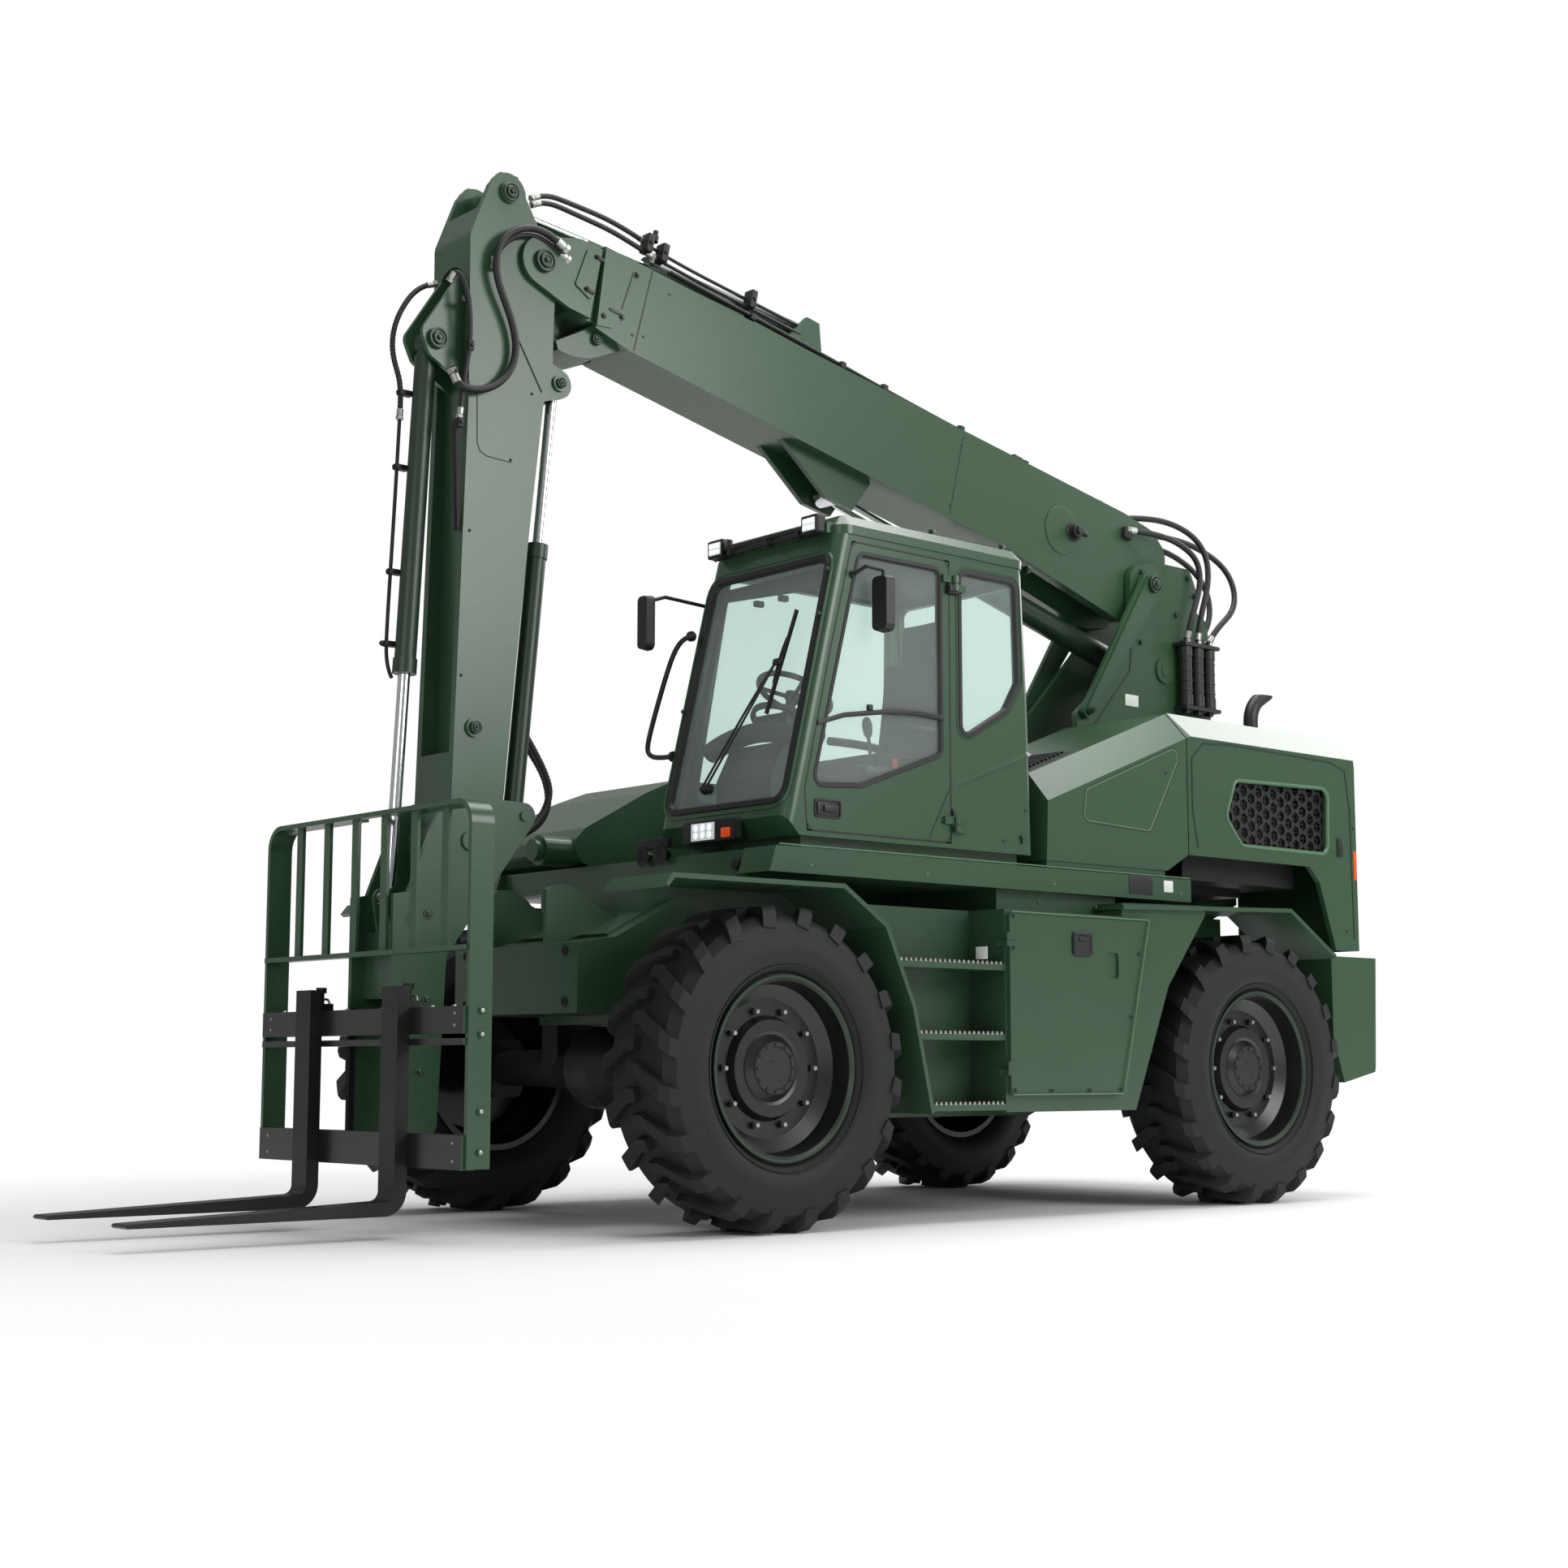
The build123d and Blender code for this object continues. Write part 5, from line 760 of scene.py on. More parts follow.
spots.done("lamp_spots", lens_bright)
blocks("turn_lamp", amber, "chassis", (at(-0.052, 0.83, 1.806), (0.012, 0.062, 0.046), 0.01))

grab = Form()
grab.tube(route(at, (-0.30, 0.30, 2.84), (-0.27, 0.26, 2.835), (-0.25, 0.215, 2.80),
    (-0.24, 0.16, 2.69), (-0.225, 0.09, 2.50), (-0.215, 0.035, 2.34), (-0.21, 0.03, 2.28),
    (-0.21, 0.07, 2.245), (-0.20, 0.16, 2.235), (-0.19, 0.285, 2.23)), 0.0125, 14)
for x, z in ((-0.30, 2.84), (-0.19, 2.23)):
    grab.turned(at(x, 0.268, z), Y, [(-0.012, 0.026), (0.004, 0.026), (0.006, 0.02), (0.006, 0)],
        20)
grab.done("grab_rail", trim)

# ---- cab: wiper
wiper = Form()
for shift in (0.0, 0.03):
    wiper.tube(route(cab_front, (0.585 + shift, 2.03, 0.03), (0.74 + shift, 2.26, 0.042),
        (0.86 + shift, 2.45, 0.046), (0.965, 2.60, 0.04)), 0.006, 10)
for y, z in ((0.585, 2.03), (0.615, 2.03)):
    wiper.turned(cab_front(y, z, 0.0), front_out, [(0, 0.024), (0.02, 0.022), (0.034, 0.014),
        (0.038, 0)], 20)
blade = route(cab_front, (1.015, 2.86, 0.02), (0.985, 2.62, 0.024), (0.94, 2.36, 0.02))
wiper.tube(blade, 0.007, 10, order=3)
wiper.tube([p - front_out * 0.012 for p in blade], 0.0045, 8, order=3)
wiper.tube(route(cab_front, (1.0, 2.72, 0.03), (0.985, 2.62, 0.045), (0.965, 2.50, 0.03)), 0.005,
    8, order=3)
wiper.block(cab_front(0.978, 2.60, 0.04), (0.03, 0.05, 0.022), 0.005, (front_run, Y, front_out))
wiper.done("wiper", trim)

# ---- cab: inside
inside = Form()
inside.block(at(-0.60, SEAT_SIDE, 3.165), (0.30, 0.80, 0.06), 0.02)
inside.block(at(-1.10, SEAT_SIDE, 3.178), (1.05, 0.80, 0.03), 0.012)
inside.prism(route(cab_front, (0.34, 3.09, -0.05), (1.13, 3.09, -0.05), (1.12, 2.985, -0.056),
    (0.36, 3.03, -0.056)), -front_out * 0.012, 0.003)
for y in (0.62, 0.80):
    inside.block(cab_front(y, 2.98, -0.06), (0.05, 0.03, 0.03), 0.006)
for y, z in ((0.335, 2.87), (0.335, 2.45)):
    inside.tube(route(cab_front, (y, z + 0.07, -0.05), (y + 0.05, z + 0.06, -0.05),
        (y + 0.05, z - 0.06, -0.05), (y, z - 0.07, -0.05)), 0.008, 10)
for y in (0.352, 1.118):
    inside.tube(route(cab_front, (y, 1.96, -0.055), (y, 2.5, -0.055), (y, 3.08, -0.055)), 0.018,
        10)
inside.block(at(-1.64, SEAT_SIDE, 2.0), (0.14, 0.80, 0.42), 0.03)
inside.block(at(-1.60, 1.10, 2.30), (0.16, 0.08, 0.12), 0.02)
inside.done("cab_lining", trim)
dash = Form()
dash.tube([at(-0.31, 0.40, 2.24), at(-0.33, 0.60, 2.33), at(-0.33, 0.86, 2.33),
    at(-0.30, 1.06, 2.24)], 0.05, 16)
dash.block(at(-0.44, SEAT_SIDE, 2.36), (0.08, 0.26, 0.10), 0.025)
dash.done("dash_hood", trim)
wheel = Form()
wheel_axis = Vector((-0.45, 0, 0.89)).normalized()
wheel_at = at(-0.565, SEAT_SIDE, 2.52)
across, other = Y, wheel_axis.cross(Y)
rim = [wheel_at + (across * math.cos(a) + other * math.sin(a)) * 0.185
    for a in (2 * math.pi * k / 30 for k in range(31))]
wheel.tube(rim, 0.0145, 12, order=3, caps=False)
for a in (math.pi / 2, math.pi * 7 / 6, math.pi * 11 / 6):
    tip = wheel_at + (across * math.cos(a) + other * math.sin(a)) * 0.178
    wheel.tube([wheel_at - wheel_axis * 0.02, wheel_at.lerp(tip, 0.5) - wheel_axis * 0.012, tip],
        0.011, 10, order=3)
wheel.turned(wheel_at - wheel_axis * 0.035, wheel_axis, [(0, 0.04), (0.03, 0.045), (0.04, 0.03),
    (0.042, 0)], 24)
wheel.tube([wheel_at - wheel_axis * 0.03, wheel_at - wheel_axis * 0.14,
    at(-0.46, SEAT_SIDE, 2.30)], 0.026, 14, order=3)
for side in (1, -1):
    wheel.tube([wheel_at - wheel_axis * 0.06 + Y * 0.02 * side,
        wheel_at - wheel_axis * 0.05 + Y * 0.10 * side,
        wheel_at - wheel_axis * 0.03 + Y * 0.15 * side], 0.006, 8, order=3)
wheel.done("steering_wheel", trim)
sticks = Form()
for y in (0.45, 1.02):
    sticks.tube([at(-0.80, y, 2.16), at(-0.80, y, 2.24), at(-0.785, y, 2.31)], 0.009, 10, order=3)
    sticks.turned(at(-0.787, y, 2.30), Vector((0.15, 0, 1)),
        [(0, 0.014), (0.02, 0.022), (0.06, 0.026), (0.09, 0.018), (0.10, 0)], 18)
    sticks.block(at(-0.90, y, 2.13), (0.34, 0.09, 0.06), 0.02)
sticks.done("joysticks", trim)
blocks("belt_buckle", amber_cloth, "chassis", (at(-0.98, 1.0, 2.16), (0.03, 0.02, 0.11), 0.006))

# ---- tower: bolts, plates, hoses
tower_side = 0.23
bits, plates = Form(), Form()
for x, z in ((-4.299, 3.60), (-4.12, 3.46), (-4.24, 3.70), (-3.80, 3.68), (-3.78, 3.25)):
    bits.bolt(at(x, tower_side, z), Y, 0.015)
for x, z in ((-3.35, 2.84), (-4.30, 2.62), (-4.14, 2.45), (-3.40, 2.62)):
    bits.bolt(at(x, tower_side, z), Y, 0.013)
    bits.bolt(at(x, -tower_side, z), -Y, 0.013)
for y, s in ((0.2995, 1), (-0.2995, -1)):
    bits.pin_cap(boom_foot(y), Y * s, 0.052, 0.012)
    bits.pin_cap(at(-3.262, y, 2.778), Y * s, 0.022, 0.008)
bits.done("tower_bolts", green_dark)
edge = Form()
edge.strip([at(-3.235, tower_side, 2.58), at(-3.68, tower_side, 3.06),
    at(-3.70, tower_side, 3.22)], Y, 0.012, 0.003)
edge.strip([at(-4.40, tower_side, 2.78), at(-4.26, tower_side, 2.50), at(-4.22, tower_side, 2.0)],
    Y, 0.012, 0.003)
edge.done("tower_edges", green_dark)
plates.block(at(-3.69, tower_side + 0.002, 2.885), (0.12, 0.006, 0.07), 0.003)
plates.done("tower_blank_plate", blank_plate)
units, nuts = Form(), Form()
unit_side = 0.28
for i in range(3):
    x = -4.36 + i * 0.11
    for low, high in ((2.896, 2.96), (3.20, 3.256)):
        units.turned(at(x, unit_side, low), Z, [(0, 0.044), (high - low, 0.044)], 24)
    for z in (2.99, 3.05, 3.11, 3.17):
        units.turned(at(x, unit_side, z), Z, [(-0.006, 0.0405), (-0.004, 0.043), (0.004, 0.043),
            (0.006, 0.0405)], 24)
    for z, way in ((3.281, Z), (2.869, -Z)):
        nuts.stud(at(x, unit_side, z), way, 0.03, 0.014, 0.026, 0.018, 6)
        nuts.fitting(at(x + 0.03, 0.31, z) + way * 0.012, way, 0.009)
units.done("valve_unit_rings", trim)
nuts.done("valve_unit_nuts", black_steel)
for name, points in (("tower_hose_upper", route(at, (-3.76, 0.13, 4.02), (-4.0, 0.15, 4.06),
        (-4.20, 0.20, 4.04), (-4.34, 0.26, 3.94), (-4.38, 0.29, 3.80), (-4.35, 0.30, 3.62),
        (-4.27, 0.30, 3.46), (-4.25, 0.29, 3.31))),
        ("tower_hose_outer", route(at, (-3.74, 0.20, 3.93), (-3.95, 0.27, 3.93),
        (-4.14, 0.31, 3.87), (-4.25, 0.325, 3.78), (-4.24, 0.33, 3.60), (-4.15, 0.33, 3.44),
        (-4.14, 0.30, 3.31))),
        ("tower_hose_loop", route(at, (-4.05, 0.05, 3.98), (-4.30, 0.10, 3.99),
        (-4.52, 0.17, 3.92), (-4.64, 0.24, 3.80), (-4.66, 0.28, 3.64), (-4.58, 0.30, 3.50),
        (-4.44, 0.30, 3.42), (-4.36, 0.29, 3.31))),
        ("tower_hose_inner", route(at, (-4.05, -0.03, 3.94), (-4.26, 0.0, 3.94),
        (-4.46, 0.06, 3.86), (-4.56, 0.12, 3.72), (-4.56, 0.16, 3.56), (-4.50, 0.18, 3.44),
        (-4.425, 0.18, 3.36)))):
    hose(name, points, 0.017, across=("boom_base", "chassis", points[1], points[-2]))
ports = Form()
for x, y, z in ((-3.74, 0.13, 4.0), (-3.72, 0.19, 3.91), (-4.03, 0.05, 3.955),
        (-4.03, -0.03, 3.92)):
    ports.block(at(x, y, z), (0.07, 0.05, 0.07), 0.008, boom_axes)
ports.done("boom_rear_ports", black_steel, "boom_base")
blocks("tower_port", black_steel, "chassis", (at(-4.43, 0.18, 3.33), (0.06, 0.06, 0.05), 0.008))

# ---- hoods
# pale band round the hatch: painted highlight on its edge
panel = Form()
hatch = [(-2.14, 1.985), (-2.16, 2.14), (-2.88, 2.42), (-2.90, 2.36), (-2.66, 1.965)]
ring(panel, hatch, 0.035, -0.001, 0.007, on_left, -0.001, 0.0025)
panel.done("hood_hatch_highlight", green_painted_highlight)
panel = Form()
ring(panel, hatch, 0.035, 0.008, 0.015, on_left, -0.001, 0.001)
panel.rivet(on_left(-2.80, 2.28), Y, 0.009)
panel.done("hood_hatch_gap", dark_seam_and_shade)
grille = [(-3.405, 2.285), (-4.245, 2.305), (-4.230, 1.945), (-3.450, 1.945), (-3.320, 2.085)]
# pale frame round the grille: painted highlight
panel = Form()
ring(panel, grille, 0.05, -0.002, 0.022, on_left, -0.006, 0.005)
panel.done("grille_rim_highlight", green_painted_highlight, "hood_lid")
mesh = Form()
mesh_side = 1.158
for row in range(13):
    z = 1.965 + row * 0.0265
    mesh.tube([at(-4.235, mesh_side, z), at(-3.8, mesh_side, z),
        at(-3.34 - (0.06 if row in (0, 1) else 0), mesh_side, z)], 0.0035, 6, order=2, caps=False)
for column in range(33):
    x = -4.22 + column * 0.0265
    mesh.tube([at(x, 1.154, 1.955), at(x, 1.154, 2.1), at(x, 1.154, 2.285)], 0.0035, 6, order=2,
        caps=False)
mesh.done("grille_mesh", black_steel, "hood_lid")
lid_edge = Form()
lid_edge.strip(route(on_left, (-3.06, 1.90), (-3.02, 2.10), (-3.02, 2.38), (-3.12, 2.47)), Y,
    0.008, 0.0025)
lid_edge.strip(route(on_left, (-3.12, 2.47), (-3.35, 2.485), (-4.28, 2.47), (-4.42, 2.43),
    (-4.46, 2.20), (-4.47, 1.46)), Y, 0.008, 0.0025)
lid_edge.done("lid_panel_edge", dark_seam_and_shade, "hood_lid")
bits = Form()
for x, z in ((-4.40, 1.50), (-4.49, 2.1)):
    bits.rivet(on_left(x, z), Y, 0.009)
bits.block(on_left(-4.35, 1.98, 0.002), (0.05, 0.012, 0.11), 0.006)
bits.done("lid_latch", trim, "hood_lid")
blocks("side_marker", amber, "hood_lid", (on_left(-4.50, 1.885, -0.03), (0.03, 0.066, 0.17),
    0.008))
bits = Form()
for y in (0.45, 1.05):
    bits.block(at(-4.516, y, 1.60), (0.014, 0.10, 0.13), 0.01)
bits.block(at(-4.514, 0.76, 2.2), (0.012, 0.62, 0.36), 0.02)
bits.done("rear_lamp_frames", trim, "hood_lid")
bits = Form()
for y in (0.45, 1.05):
    bits.block(at(-4.521, y, 1.60), (0.012, 0.075, 0.10), 0.012)
bits.done("rear_lamps", amber, "hood_lid")
bars = Form()
for i in range(8):
    bars.block(at(-4.519, 0.76, 2.06 + i * 0.04), (0.014, 0.57, 0.018), 0.004)
bars.done("rear_louvres", black_steel, "hood_lid")

# vent on the sloping top near the cab
slope_run = Vector((-(2.99 - 1.871), 0, 2.64 - 2.215)).normalized()
slope_out = Vector((slope_run.z, 0, -slope_run.x)).normalized()
slope_axes = (slope_run, Y, slope_out)


def on_slope(along, side, out=0.0):
    return at(-1.871, side, 2.215) + slope_run * along + slope_out * out


vent = Form()
vent.block(on_slope(0.26, 0.72, 0.0), (0.34, 0.56, 0.012), 0.004, slope_axes)
for i in range(9):
    vent.block(on_slope(0.13 + i * 0.033, 0.72, 0.01), (0.014, 0.52, 0.014), 0.003, slope_axes)
vent.done("hood_vent", trim)

# ---- deck rail, toolbox, steps
blocks("rail_vent", trim, "chassis", (at(-2.575, 1.2, 1.672), (0.19, 0.008, 0.10), 0.003))
blocks("rail_blank_labels", blank_plate, "chassis", (at(-2.80, 1.2, 1.675), (0.075, 0.006, 0.062),
    0.002), (at(-1.27, 1.294, 1.27), (0.003, 0.075, 0.06), 0.001))
# rivets and top line of the rail in paler green: painted highlight
rail = Form()
for x in (-0.25, -1.0, -1.9, -2.9):
    rail.rivet(at(x, 1.2, 1.64), Y, 0.008)
rail.strip([at(-0.06, 1.2, 1.728), at(-2.98, 1.2, 1.728)], Y, 0.006, 0.002)
rail.done("rail_highlight_bits", green_painted_highlight)

box_side = 1.335
latch = Form()
ring(latch, [(-1.90, 1.285), (-2.02, 1.285), (-2.02, 1.385), (-1.90, 1.385)], 0.012, -0.012, 0.012,
    lambda x, z, h: at(x, box_side + h, z), -0.002, 0.005)
latch.block(at(-1.96, box_side, 1.335), (0.10, 0.004, 0.08), 0.001)
latch.block(at(-1.96, box_side + 0.003, 1.36), (0.07, 0.012, 0.02), 0.004)
latch.done("toolbox_latch", trim, "toolbox_lid")
bolts = Form()
for x, z in ((-1.46, 1.455), (-1.46, 1.30), (-1.46, 0.615), (-1.72, 0.612), (-2.0, 0.612),
        (-2.40, 1.30), (-2.33, 0.98), (-2.24, 0.615)):
    bolts.rivet(at(x, box_side, z), Y, 0.010)
bolts.done("toolbox_bolts", green_dark, "toolbox_lid")
# pale strips along the box's edges: painted highlight
lip = Form()
for start, end in (((-1.44, 1.476), (-2.474, 1.476)), ((-1.44, 0.594), (-2.252, 0.594)),
        ((-2.474, 1.476), (-2.252, 0.594))):
    lip.strip([at(x, box_side, z) for x, z in (start, end)], Y, 0.007, 0.003)
lip.done("toolbox_lip_highlight", green_painted_highlight, "toolbox_lid")
treads, teeth = Form(), Form()
step_back, tooth_face, tooth_pitch = -1.424, 1.296, 0.032
for side in (1, -1):
    for level, front in ((1.22, -0.69), (0.883, -0.822), (0.55, -0.898)):
        for y in (1.08, 1.13, 1.18, 1.23, 1.28):
            treads.block(at((front + step_back) / 2, side * y, level + 0.0045),
                (front - step_back - 0.03, 0.012, 0.012), 0.002)
        for i in range(int((front - step_back) / tooth_pitch)):
            x = step_back + 0.018 + i * tooth_pitch
            teeth.prism([at(x + run, side * tooth_face, level + rise) for run,
                rise in ((0, -0.002), (0.02, -0.002), (0.014, 0.013), (0.006, 0.013))],
                Y * side * 0.006)
treads.done("step_treads", black_steel)
teeth.done("step_teeth", zinc)
fenders = Form()
for side in (1, -1):
    for x in (step_back - 0.25, -2.1):
        fenders.rivet(at(x, side * 1.30, 1.53), Y * side, 0.009)
fenders.done("side_body_bolts", green_dark)

# ---- nose, horn, front lamp
nose = Form()
for y in (0.403, -0.403):
    for z in (1.255, 1.02):
        nose.turned(at(0.545, y, z), X, [(-0.002, 0.024), (0.006, 0.024), (0.008, 0.018),
            (0.003, 0.016), (0.003, 0)], 20)
nose.done("nose_bolts", trim)
horn = Form()
horn.block(at(-0.055, 0.29, 1.79), (0.03, 0.24, 0.05), 0.006)
for y in (0.22, 0.36):
    horn.turned(at(-0.06, y, 1.735), X, [(-0.03, 0.02), (0.0, 0.026), (0.02, 0.045), (0.024, 0.05),
        (0.026, 0.044), (0.012, 0.02), (0.012, 0)], 24)
    horn.block(at(-0.06, y, 1.765), (0.012, 0.02, 0.04), 0.003)
horn.tube([at(-0.09, 0.22, 1.72), at(-0.12, 0.26, 1.66), at(-0.12, 0.34, 1.66),
    at(-0.09, 0.36, 1.72)], 0.007, 10)
horn.done("horn_bracket", black_steel)
lampy = Form()
lampy.turned(at(-0.05, 0.91, 1.655), X, [(-0.02, 0.03), (0.0, 0.032), (0.012, 0.028),
    (0.014, 0.02), (0.014, 0)], 22)
lampy.done("deck_lamp", trim)

# ---- wheels
for end, axle_ahead in (("front", 0.0), ("rear", REAR_AXLE)):
    for hand, side in (("left", 1), ("right", -1)):
        body = f"wheel_{end}_{hand}_body"
        hub = at(axle_ahead, side * HUB_SIDE, HUB_UP)
        out = Y * side

        def spot(angle, radius, along):
            return hub + out * along + Vector((math.cos(angle), 0, math.sin(angle))) * radius

        form = Form()
        form.turned(hub, out, [(0.196, 0.414), (0.199, 0.412), (0.199, 0.398), (0.186, 0.388),
            (0.150, 0.385)], 72)
        form.done(f"rim_edge_{end}_{hand}", green_dark, body)
        form = Form()
        for r0, r1, depth in ((0.372, 0.366, 0.06), (0.352, 0.346, 0.03)):
            form.turned(hub + out * depth, out, [(0.0, r0), (0.006, r0 - 0.002), (0.006, r1),
                (0.0, r1 - 0.002)], 72)
        form.done(f"rim_ridges_{end}_{hand}", rim_black, body)
        form = Form()
        form.turned(hub + out * 0.12, out, [(-0.002, 0.120), (0.004, 0.120), (0.008, 0.116),
            (0.008, 0.096), (0.004, 0.094), (0.004, 0.0)], 48)
        for k in range(12):
            form.bolt(spot(2 * math.pi * k / 12, 0.106, 0.127), out, 0.007)
        form.rivet(spot(1.2, 0.03, 0.124), out, 0.006)
        form.rivet(spot(4.2, 0.06, 0.124), out, 0.006)
        form.done(f"hub_cap_{end}_{hand}", hub_grey, body)
        form = Form()
        for k in range(10):
            turn = 2 * math.pi * k / 10
            place = spot(turn, 0.262, 0.082)
            form.stud(place, out, 0.011, 0.02, 0.009, 0.022, 14)
        form.done(f"wheel_studs_{end}_{hand}", zinc, body)
        form = Form()
        form.tube(route(spot, (0.6, 0.345, 0.05), (0.6, 0.335, 0.09), (0.6, 0.325, 0.11)), 0.006,
            10)
        for radius, along in ((0.452, 0.2205), (0.505, 0.2325), (0.545, 0.2345), (0.585, 0.2285)):
            form.turned(hub, out, [(along - 0.003, radius - 0.005),
                (along + 0.0015, radius - 0.003), (along + 0.0015, radius + 0.003),
                (along - 0.003, radius + 0.005)], 96)
        form.done(f"tyre_rings_{end}_{hand}", rubber, body)

# ---- carriage and forks
near, bar_front, hanger_side = 0.87, 1.3785, 0.2555
post = Form()
for side in (1, -1):
    for z in (0.372, 0.54, 0.86, 0.96):
        post.stud(at(1.311, side * (near + 0.012), z), Y * side, 0.0105, 0.003, 0.007, 0.007, 6)
post.done("post_bolts", zinc, "fork_carriage")
bars = Form()
bars.strip([at(bar_front, side * 0.80, 0.925) for side in (-1, 1)], X, 0.05, 0.002)
bars.done("bar_faces", black_steel, "fork_carriage")
studs = Form()
for y in (-0.72, -0.55, -0.15, 0.15, 0.55, 0.72):
    studs.rivet(at(1.345, y, 0.9795), Z, 0.012)
for y in (-0.78, 0.78):
    for z in (0.335, 0.41, 0.90, 0.95):
        studs.rivet(at(1.3795, y, z), X, 0.010)
studs.done("carriage_studs", zinc, "fork_carriage")
latch = Form()
for y in (-0.37, 0.37):
    latch.tube([at(1.34, y - 0.045, 1.0), at(1.33, y - 0.05, 1.045), at(1.33, y + 0.05, 1.045),
        at(1.34, y + 0.045, 1.0)], 0.006, 10)
latch.done("fork_latches", zinc, "fork_carriage")
plate = Form()
for side in (1, -1):
    for ahead, up, radius in ((1.19, 1.40, 0.016), (1.19, 1.02, 0.016), (1.22, 0.70, 0.014)):
        plate.bolt(at(ahead, side * hanger_side, up), Y * side, radius)
plate.done("hanger_bolts", green_dark, "fork_carriage")

# hoses behind the arm's foot: their lower ends sit on a block beside the rear cylinders' pin
blocks("rear_hose_block", black_steel, "fork_carriage", (at(0.60, -0.16, 1.80), (0.12, 0.05, 0.08),
    0.008))
for name, y, points in (("rear_hose_a", -0.16, [(0.416, 2.36), (0.332, 2.249), (0.244, 2.117),
        (0.237, 2.018), (0.32, 1.88), (0.45, 1.80), (0.55, 1.80)]),
        ("rear_hose_b", -0.20, [(0.396, 2.322), (0.274, 2.195), (0.214, 2.08), (0.222, 1.96),
        (0.31, 1.86), (0.45, 1.815), (0.56, 1.82)])):
    path = [at(x, y, z) for x, z in points]
    hose(name, path[::-1], 0.016, across=("fork_carriage", "link_rear_barrel_body", path[-2],
        path[1]))

# ---- seat: crowned pads with channels
def pad(name, centre, axes, size, crown, pinch, channels, rows=26):
    """Closed cushion: its faces crowned, its sides pulled in between corners, sewn channels."""
    form = bmesh.new()
    bmesh.ops.create_cube(form, size=2)
    bmesh.ops.subdivide_edges(form, edges=form.edges[:], cuts=rows, use_grid_fill=True)
    half = Vector(size) / 2
    rounding = min(half) * 0.55
    core = half - Vector((rounding,) * 3)
    for vert in form.verts:
        u, v, w = vert.co
        flat = Vector(tuple(p * h for p, h in zip(vert.co, half)))
        kept = Vector(tuple(max(-c, min(c, q)) for q, c in zip(flat, core)))
        off = flat - kept
        place = kept + (off.normalized() * rounding if off.length > 1e-6 else off)
        place.z += math.copysign(crown, w) * (1 - u ** 4) * (1 - v ** 4) * abs(w) ** 3
        place.x -= math.copysign(pinch, u) * (1 - v * v) * abs(u) ** 6
        place.y -= math.copysign(pinch, v) * (1 - u * u) * abs(v) ** 6
        if w > 0.5:
            for along, across, width in channels:
                gap = (u - along) if across else (v - along)
                place.z -= 0.011 * math.exp(-(gap / width) ** 2) * (1 - abs(v if across else u) **
                    8)
        vert.co = Vector(centre) + sum((a * p for a, p in zip(axes, place)), Vector())
    for face in form.faces:
        face.smooth = True
    bmesh.ops.recalc_face_normals(form, faces=form.faces)
    data = bpy.data.meshes.new(name)
    form.to_mesh(data)
    form.free()
    data.materials.append(fabric)
    item = placed(name, data)
    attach(item, "chassis")
    return item


lean = math.radians(7.4)
back_up = Vector((-math.sin(lean), 0, math.cos(lean)))
back_out = Vector((math.cos(lean), 0, math.sin(lean)))
back_axes = (back_up, Y, back_out)
seat_low = 2.1373
seat_pad = pad("seat_pad", at(-1.14, SEAT_SIDE, seat_low + 0.058), (X, Y, Z), (0.47, 0.48, 0.104),
    0.006, 0.006, [(-0.55, False, 0.05), (0.55, False, 0.05), (-0.35, True, 0.04),
    (0.25, True, 0.04)])
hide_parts("seat_cushion")
pad("back_pad", at(-1.392, SEAT_SIDE, seat_low + 0.370), back_axes, (0.555, 0.462, 0.084), 0.006,
    0.006, [(-0.58, False, 0.05), (0.58, False, 0.05), (-0.4, True, 0.035), (0.0, True, 0.035),
    (0.42, True, 0.035)])
pad("head_pad", at(-1.440, SEAT_SIDE, seat_low + 0.742), back_axes, (0.195, 0.25, 0.066), 0.005,
    0.004, [(0.0, True, 0.05)], 18)
frame_bits = Form()
for y in (0.69, 0.78):
    frame_bits.tube([at(-1.425, y, seat_low + 0.60), at(-1.432, y, seat_low + 0.66),
        at(-1.440, y, seat_low + 0.72)], 0.007, 10, order=3)
frame_bits.block(at(-1.447, SEAT_SIDE, seat_low + 0.36), (0.50, 0.40, 0.02), 0.008, back_axes)
for y in (0.455, 1.015):
    frame_bits.tube([at(-1.40, y, seat_low + 0.22), at(-1.28, y, seat_low + 0.235),
        at(-1.05, y, seat_low + 0.23)], 0.022, 14, order=3)
frame_bits.done("seat_frame", trim)
piping = Form()
for z in (0.020, 0.092):
    edge_line = rounded([(-1.37, 0.50), (-0.91, 0.50), (-0.91, 0.97), (-1.37, 0.97)], 0.035)
    piping.tube([at(x, y, seat_low + z) for x, y in edge_line + edge_line[:1]], 0.003, 8, order=2,
        caps=False)
piping.done("seat_piping", trim)

# ---- stage, lamps, camera
floor_data = bpy.data.meshes.new("studio_floor")
reach = 40
floor_data.from_pydata([(-reach, -reach, 0), (reach, -reach, 0), (reach, reach, 0),
    (-reach, reach, 0)], [], [(0, 1, 2, 3)])
floor = placed("studio_floor", floor_data)
floor.data.materials.append(floor_pale)
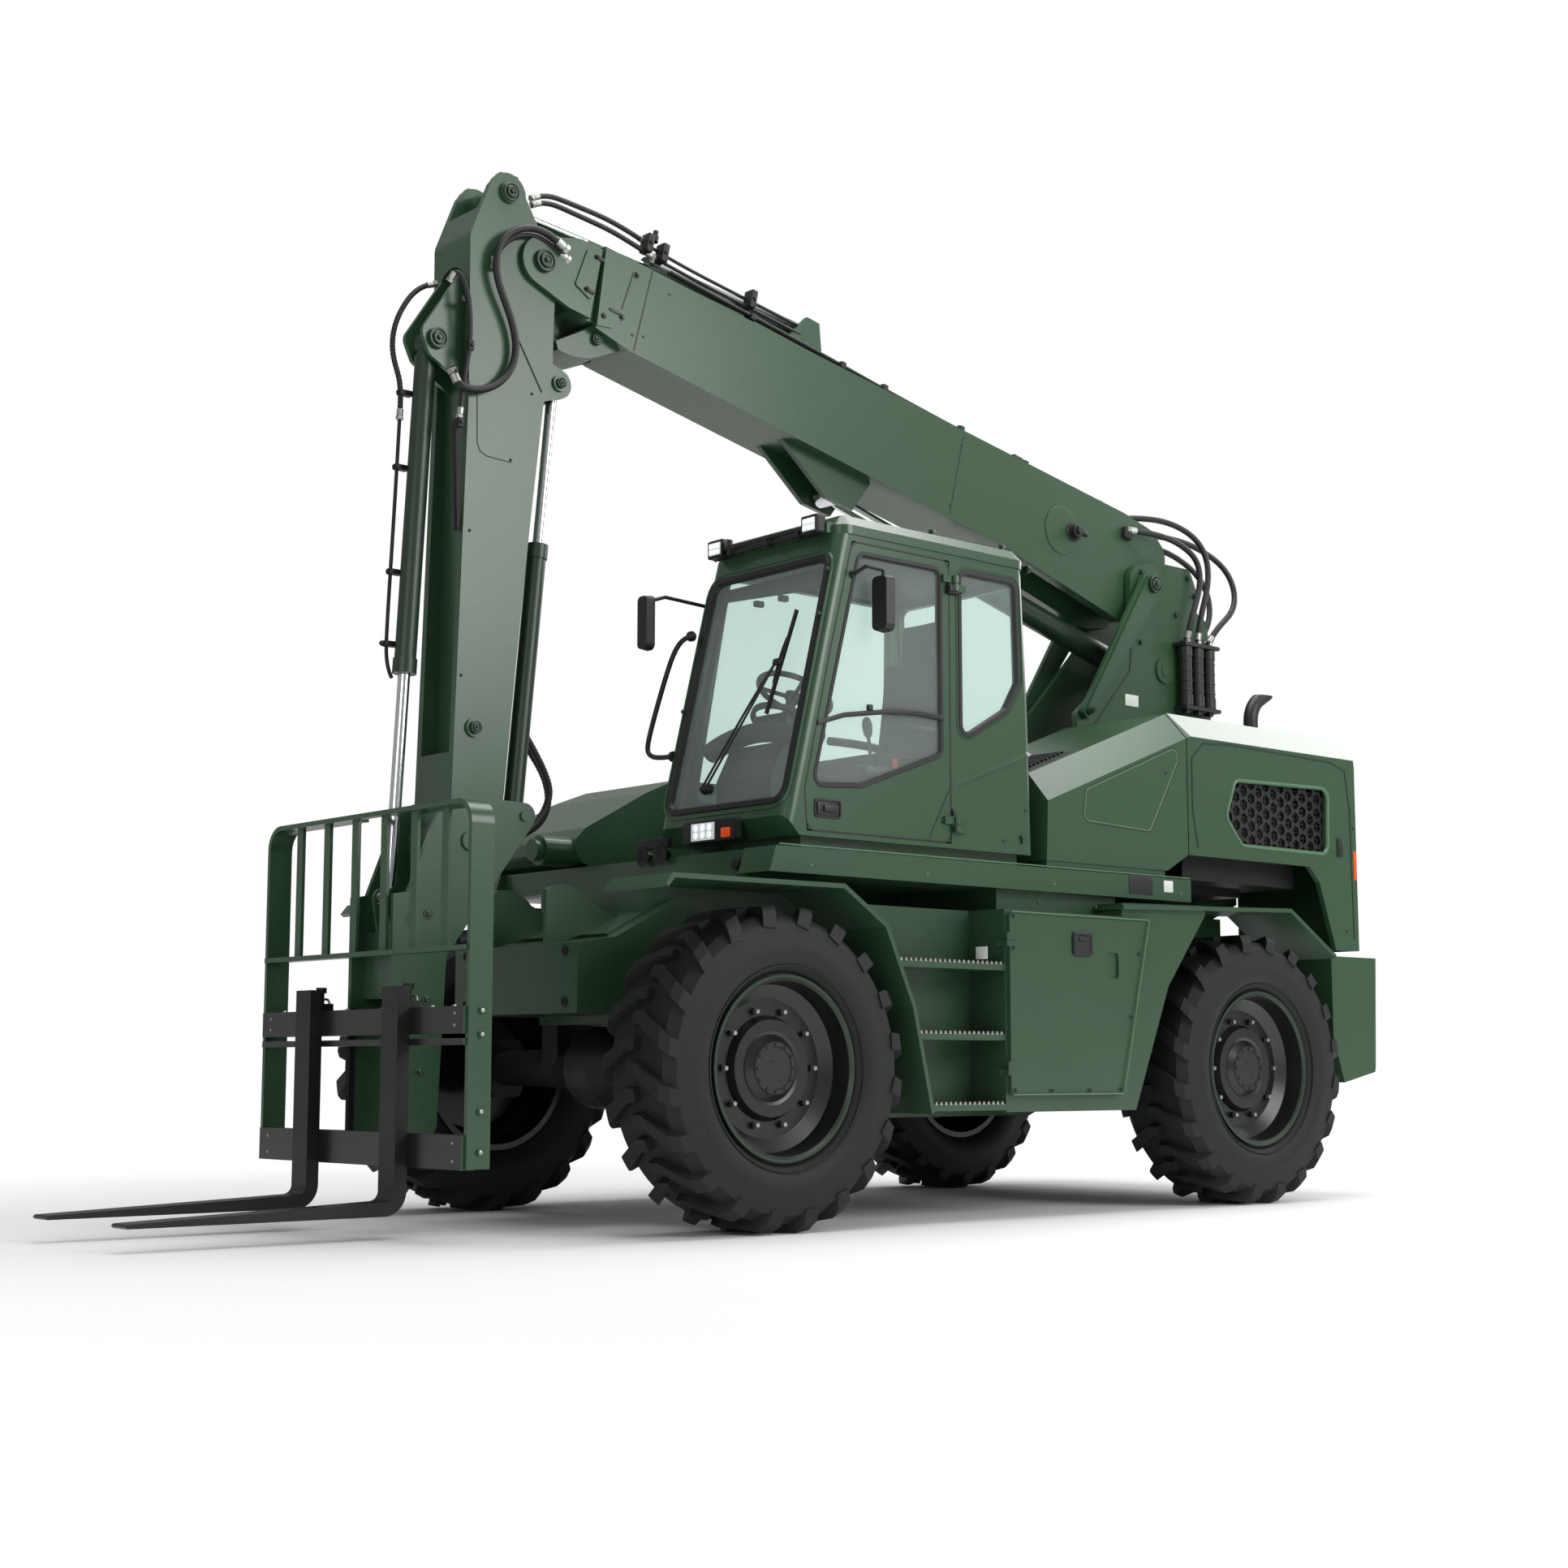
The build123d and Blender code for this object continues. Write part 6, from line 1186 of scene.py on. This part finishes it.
# towards its far edge the floor runs into the white background, for the camera alone
tree = floor_pale.node_tree
apart = node(tree, "VectorMath", {1: at(-1.2, 0, 0)}, operation="DISTANCE")
fade = node(tree, "MapRange", {"From Min": 2.4, "From Max": 6.5}, interpolation_type="SMOOTHSTEP")
share = node(tree, "Math", operation="MULTIPLY")
mix = node(tree, "MixShader")
wire(tree, (node(tree, "NewGeometry"), "Position", apart, 0), (apart, "Value", fade, "Value"),
    (fade, 0, share, 0), (node(tree, "LightPath"), "Is Camera Ray", share, 1), (share, 0, mix, 0),
    (tree.nodes["Principled BSDF"], 0, mix, 1), (node(tree, "Emission"), 0, mix, 2),
    (mix, 0, tree.nodes["Material Output"], "Surface"))

# grey light from the world, but white where the camera sees it
world = bpy.data.worlds.new("studio")
bpy.context.scene.world = world
world.use_nodes = True
tree = world.node_tree
back = tree.nodes["Background"]
fill(back, {"Color": (0.8, 0.8, 0.8, 1), "Strength": 0.45})
white = node(tree, "Background", {"Color": (1, 1, 1, 1), "Strength": 1.0})
path = node(tree, "LightPath")
seen = node(tree, "Math", operation="MAXIMUM")
mix = node(tree, "MixShader")
wire(tree, (path, "Is Camera Ray", seen, 0), (path, "Is Transmission Ray", seen, 1),
    (seen, 0, mix, 0), (back, 0, mix, 1), (white, 0, mix, 2), (mix, 0, tree.nodes["World Output"],
    "Surface"))


def lamp(name, place, aim, size, power):
    """Soft rectangular light turned to its aim."""
    data = bpy.data.lights.new(name, "AREA")
    data.shape = "RECTANGLE"
    data.size, data.size_y = size
    data.energy = power
    item = placed(name, data)
    item.location = place
    item.rotation_euler = (Vector(aim) - Vector(place)).to_track_quat("-Z", "Y").to_euler()


lamp("top_softbox", (-1.5, 0.5, 9.5), (-1.5, 0, 0), (9, 5), 620)
lamp("side_key", (-3.5, 11.0, 6.5), (-1.0, 0, 1.6), (7, 5), 640)
lamp("rear_softbox", (-11.0, 0.5, 7.6), (-1.0, 0, 2.2), (8, 6), 620)
lamp("front_fill", (10.0, 5.0, 4.0), (0, 0, 1.8), (5, 4), 120)

camera_data = bpy.data.cameras.new("camera")
camera = placed("camera", camera_data)
camera.location = at(6.709, 8.910, 0.719)
yaw, pitch = math.radians(41.394), math.radians(7.101)
sight = Vector((-math.sin(yaw) * math.cos(pitch), -math.cos(yaw) * math.cos(pitch),
    math.sin(pitch)))
camera.rotation_euler = sight.to_track_quat("-Z", "Y").to_euler()
camera_data.sensor_width = 36
camera_data.lens = 52.43
camera_data.clip_end = 200
bpy.context.scene.camera = camera
bpy.context.scene.view_settings.view_transform = "Standard"
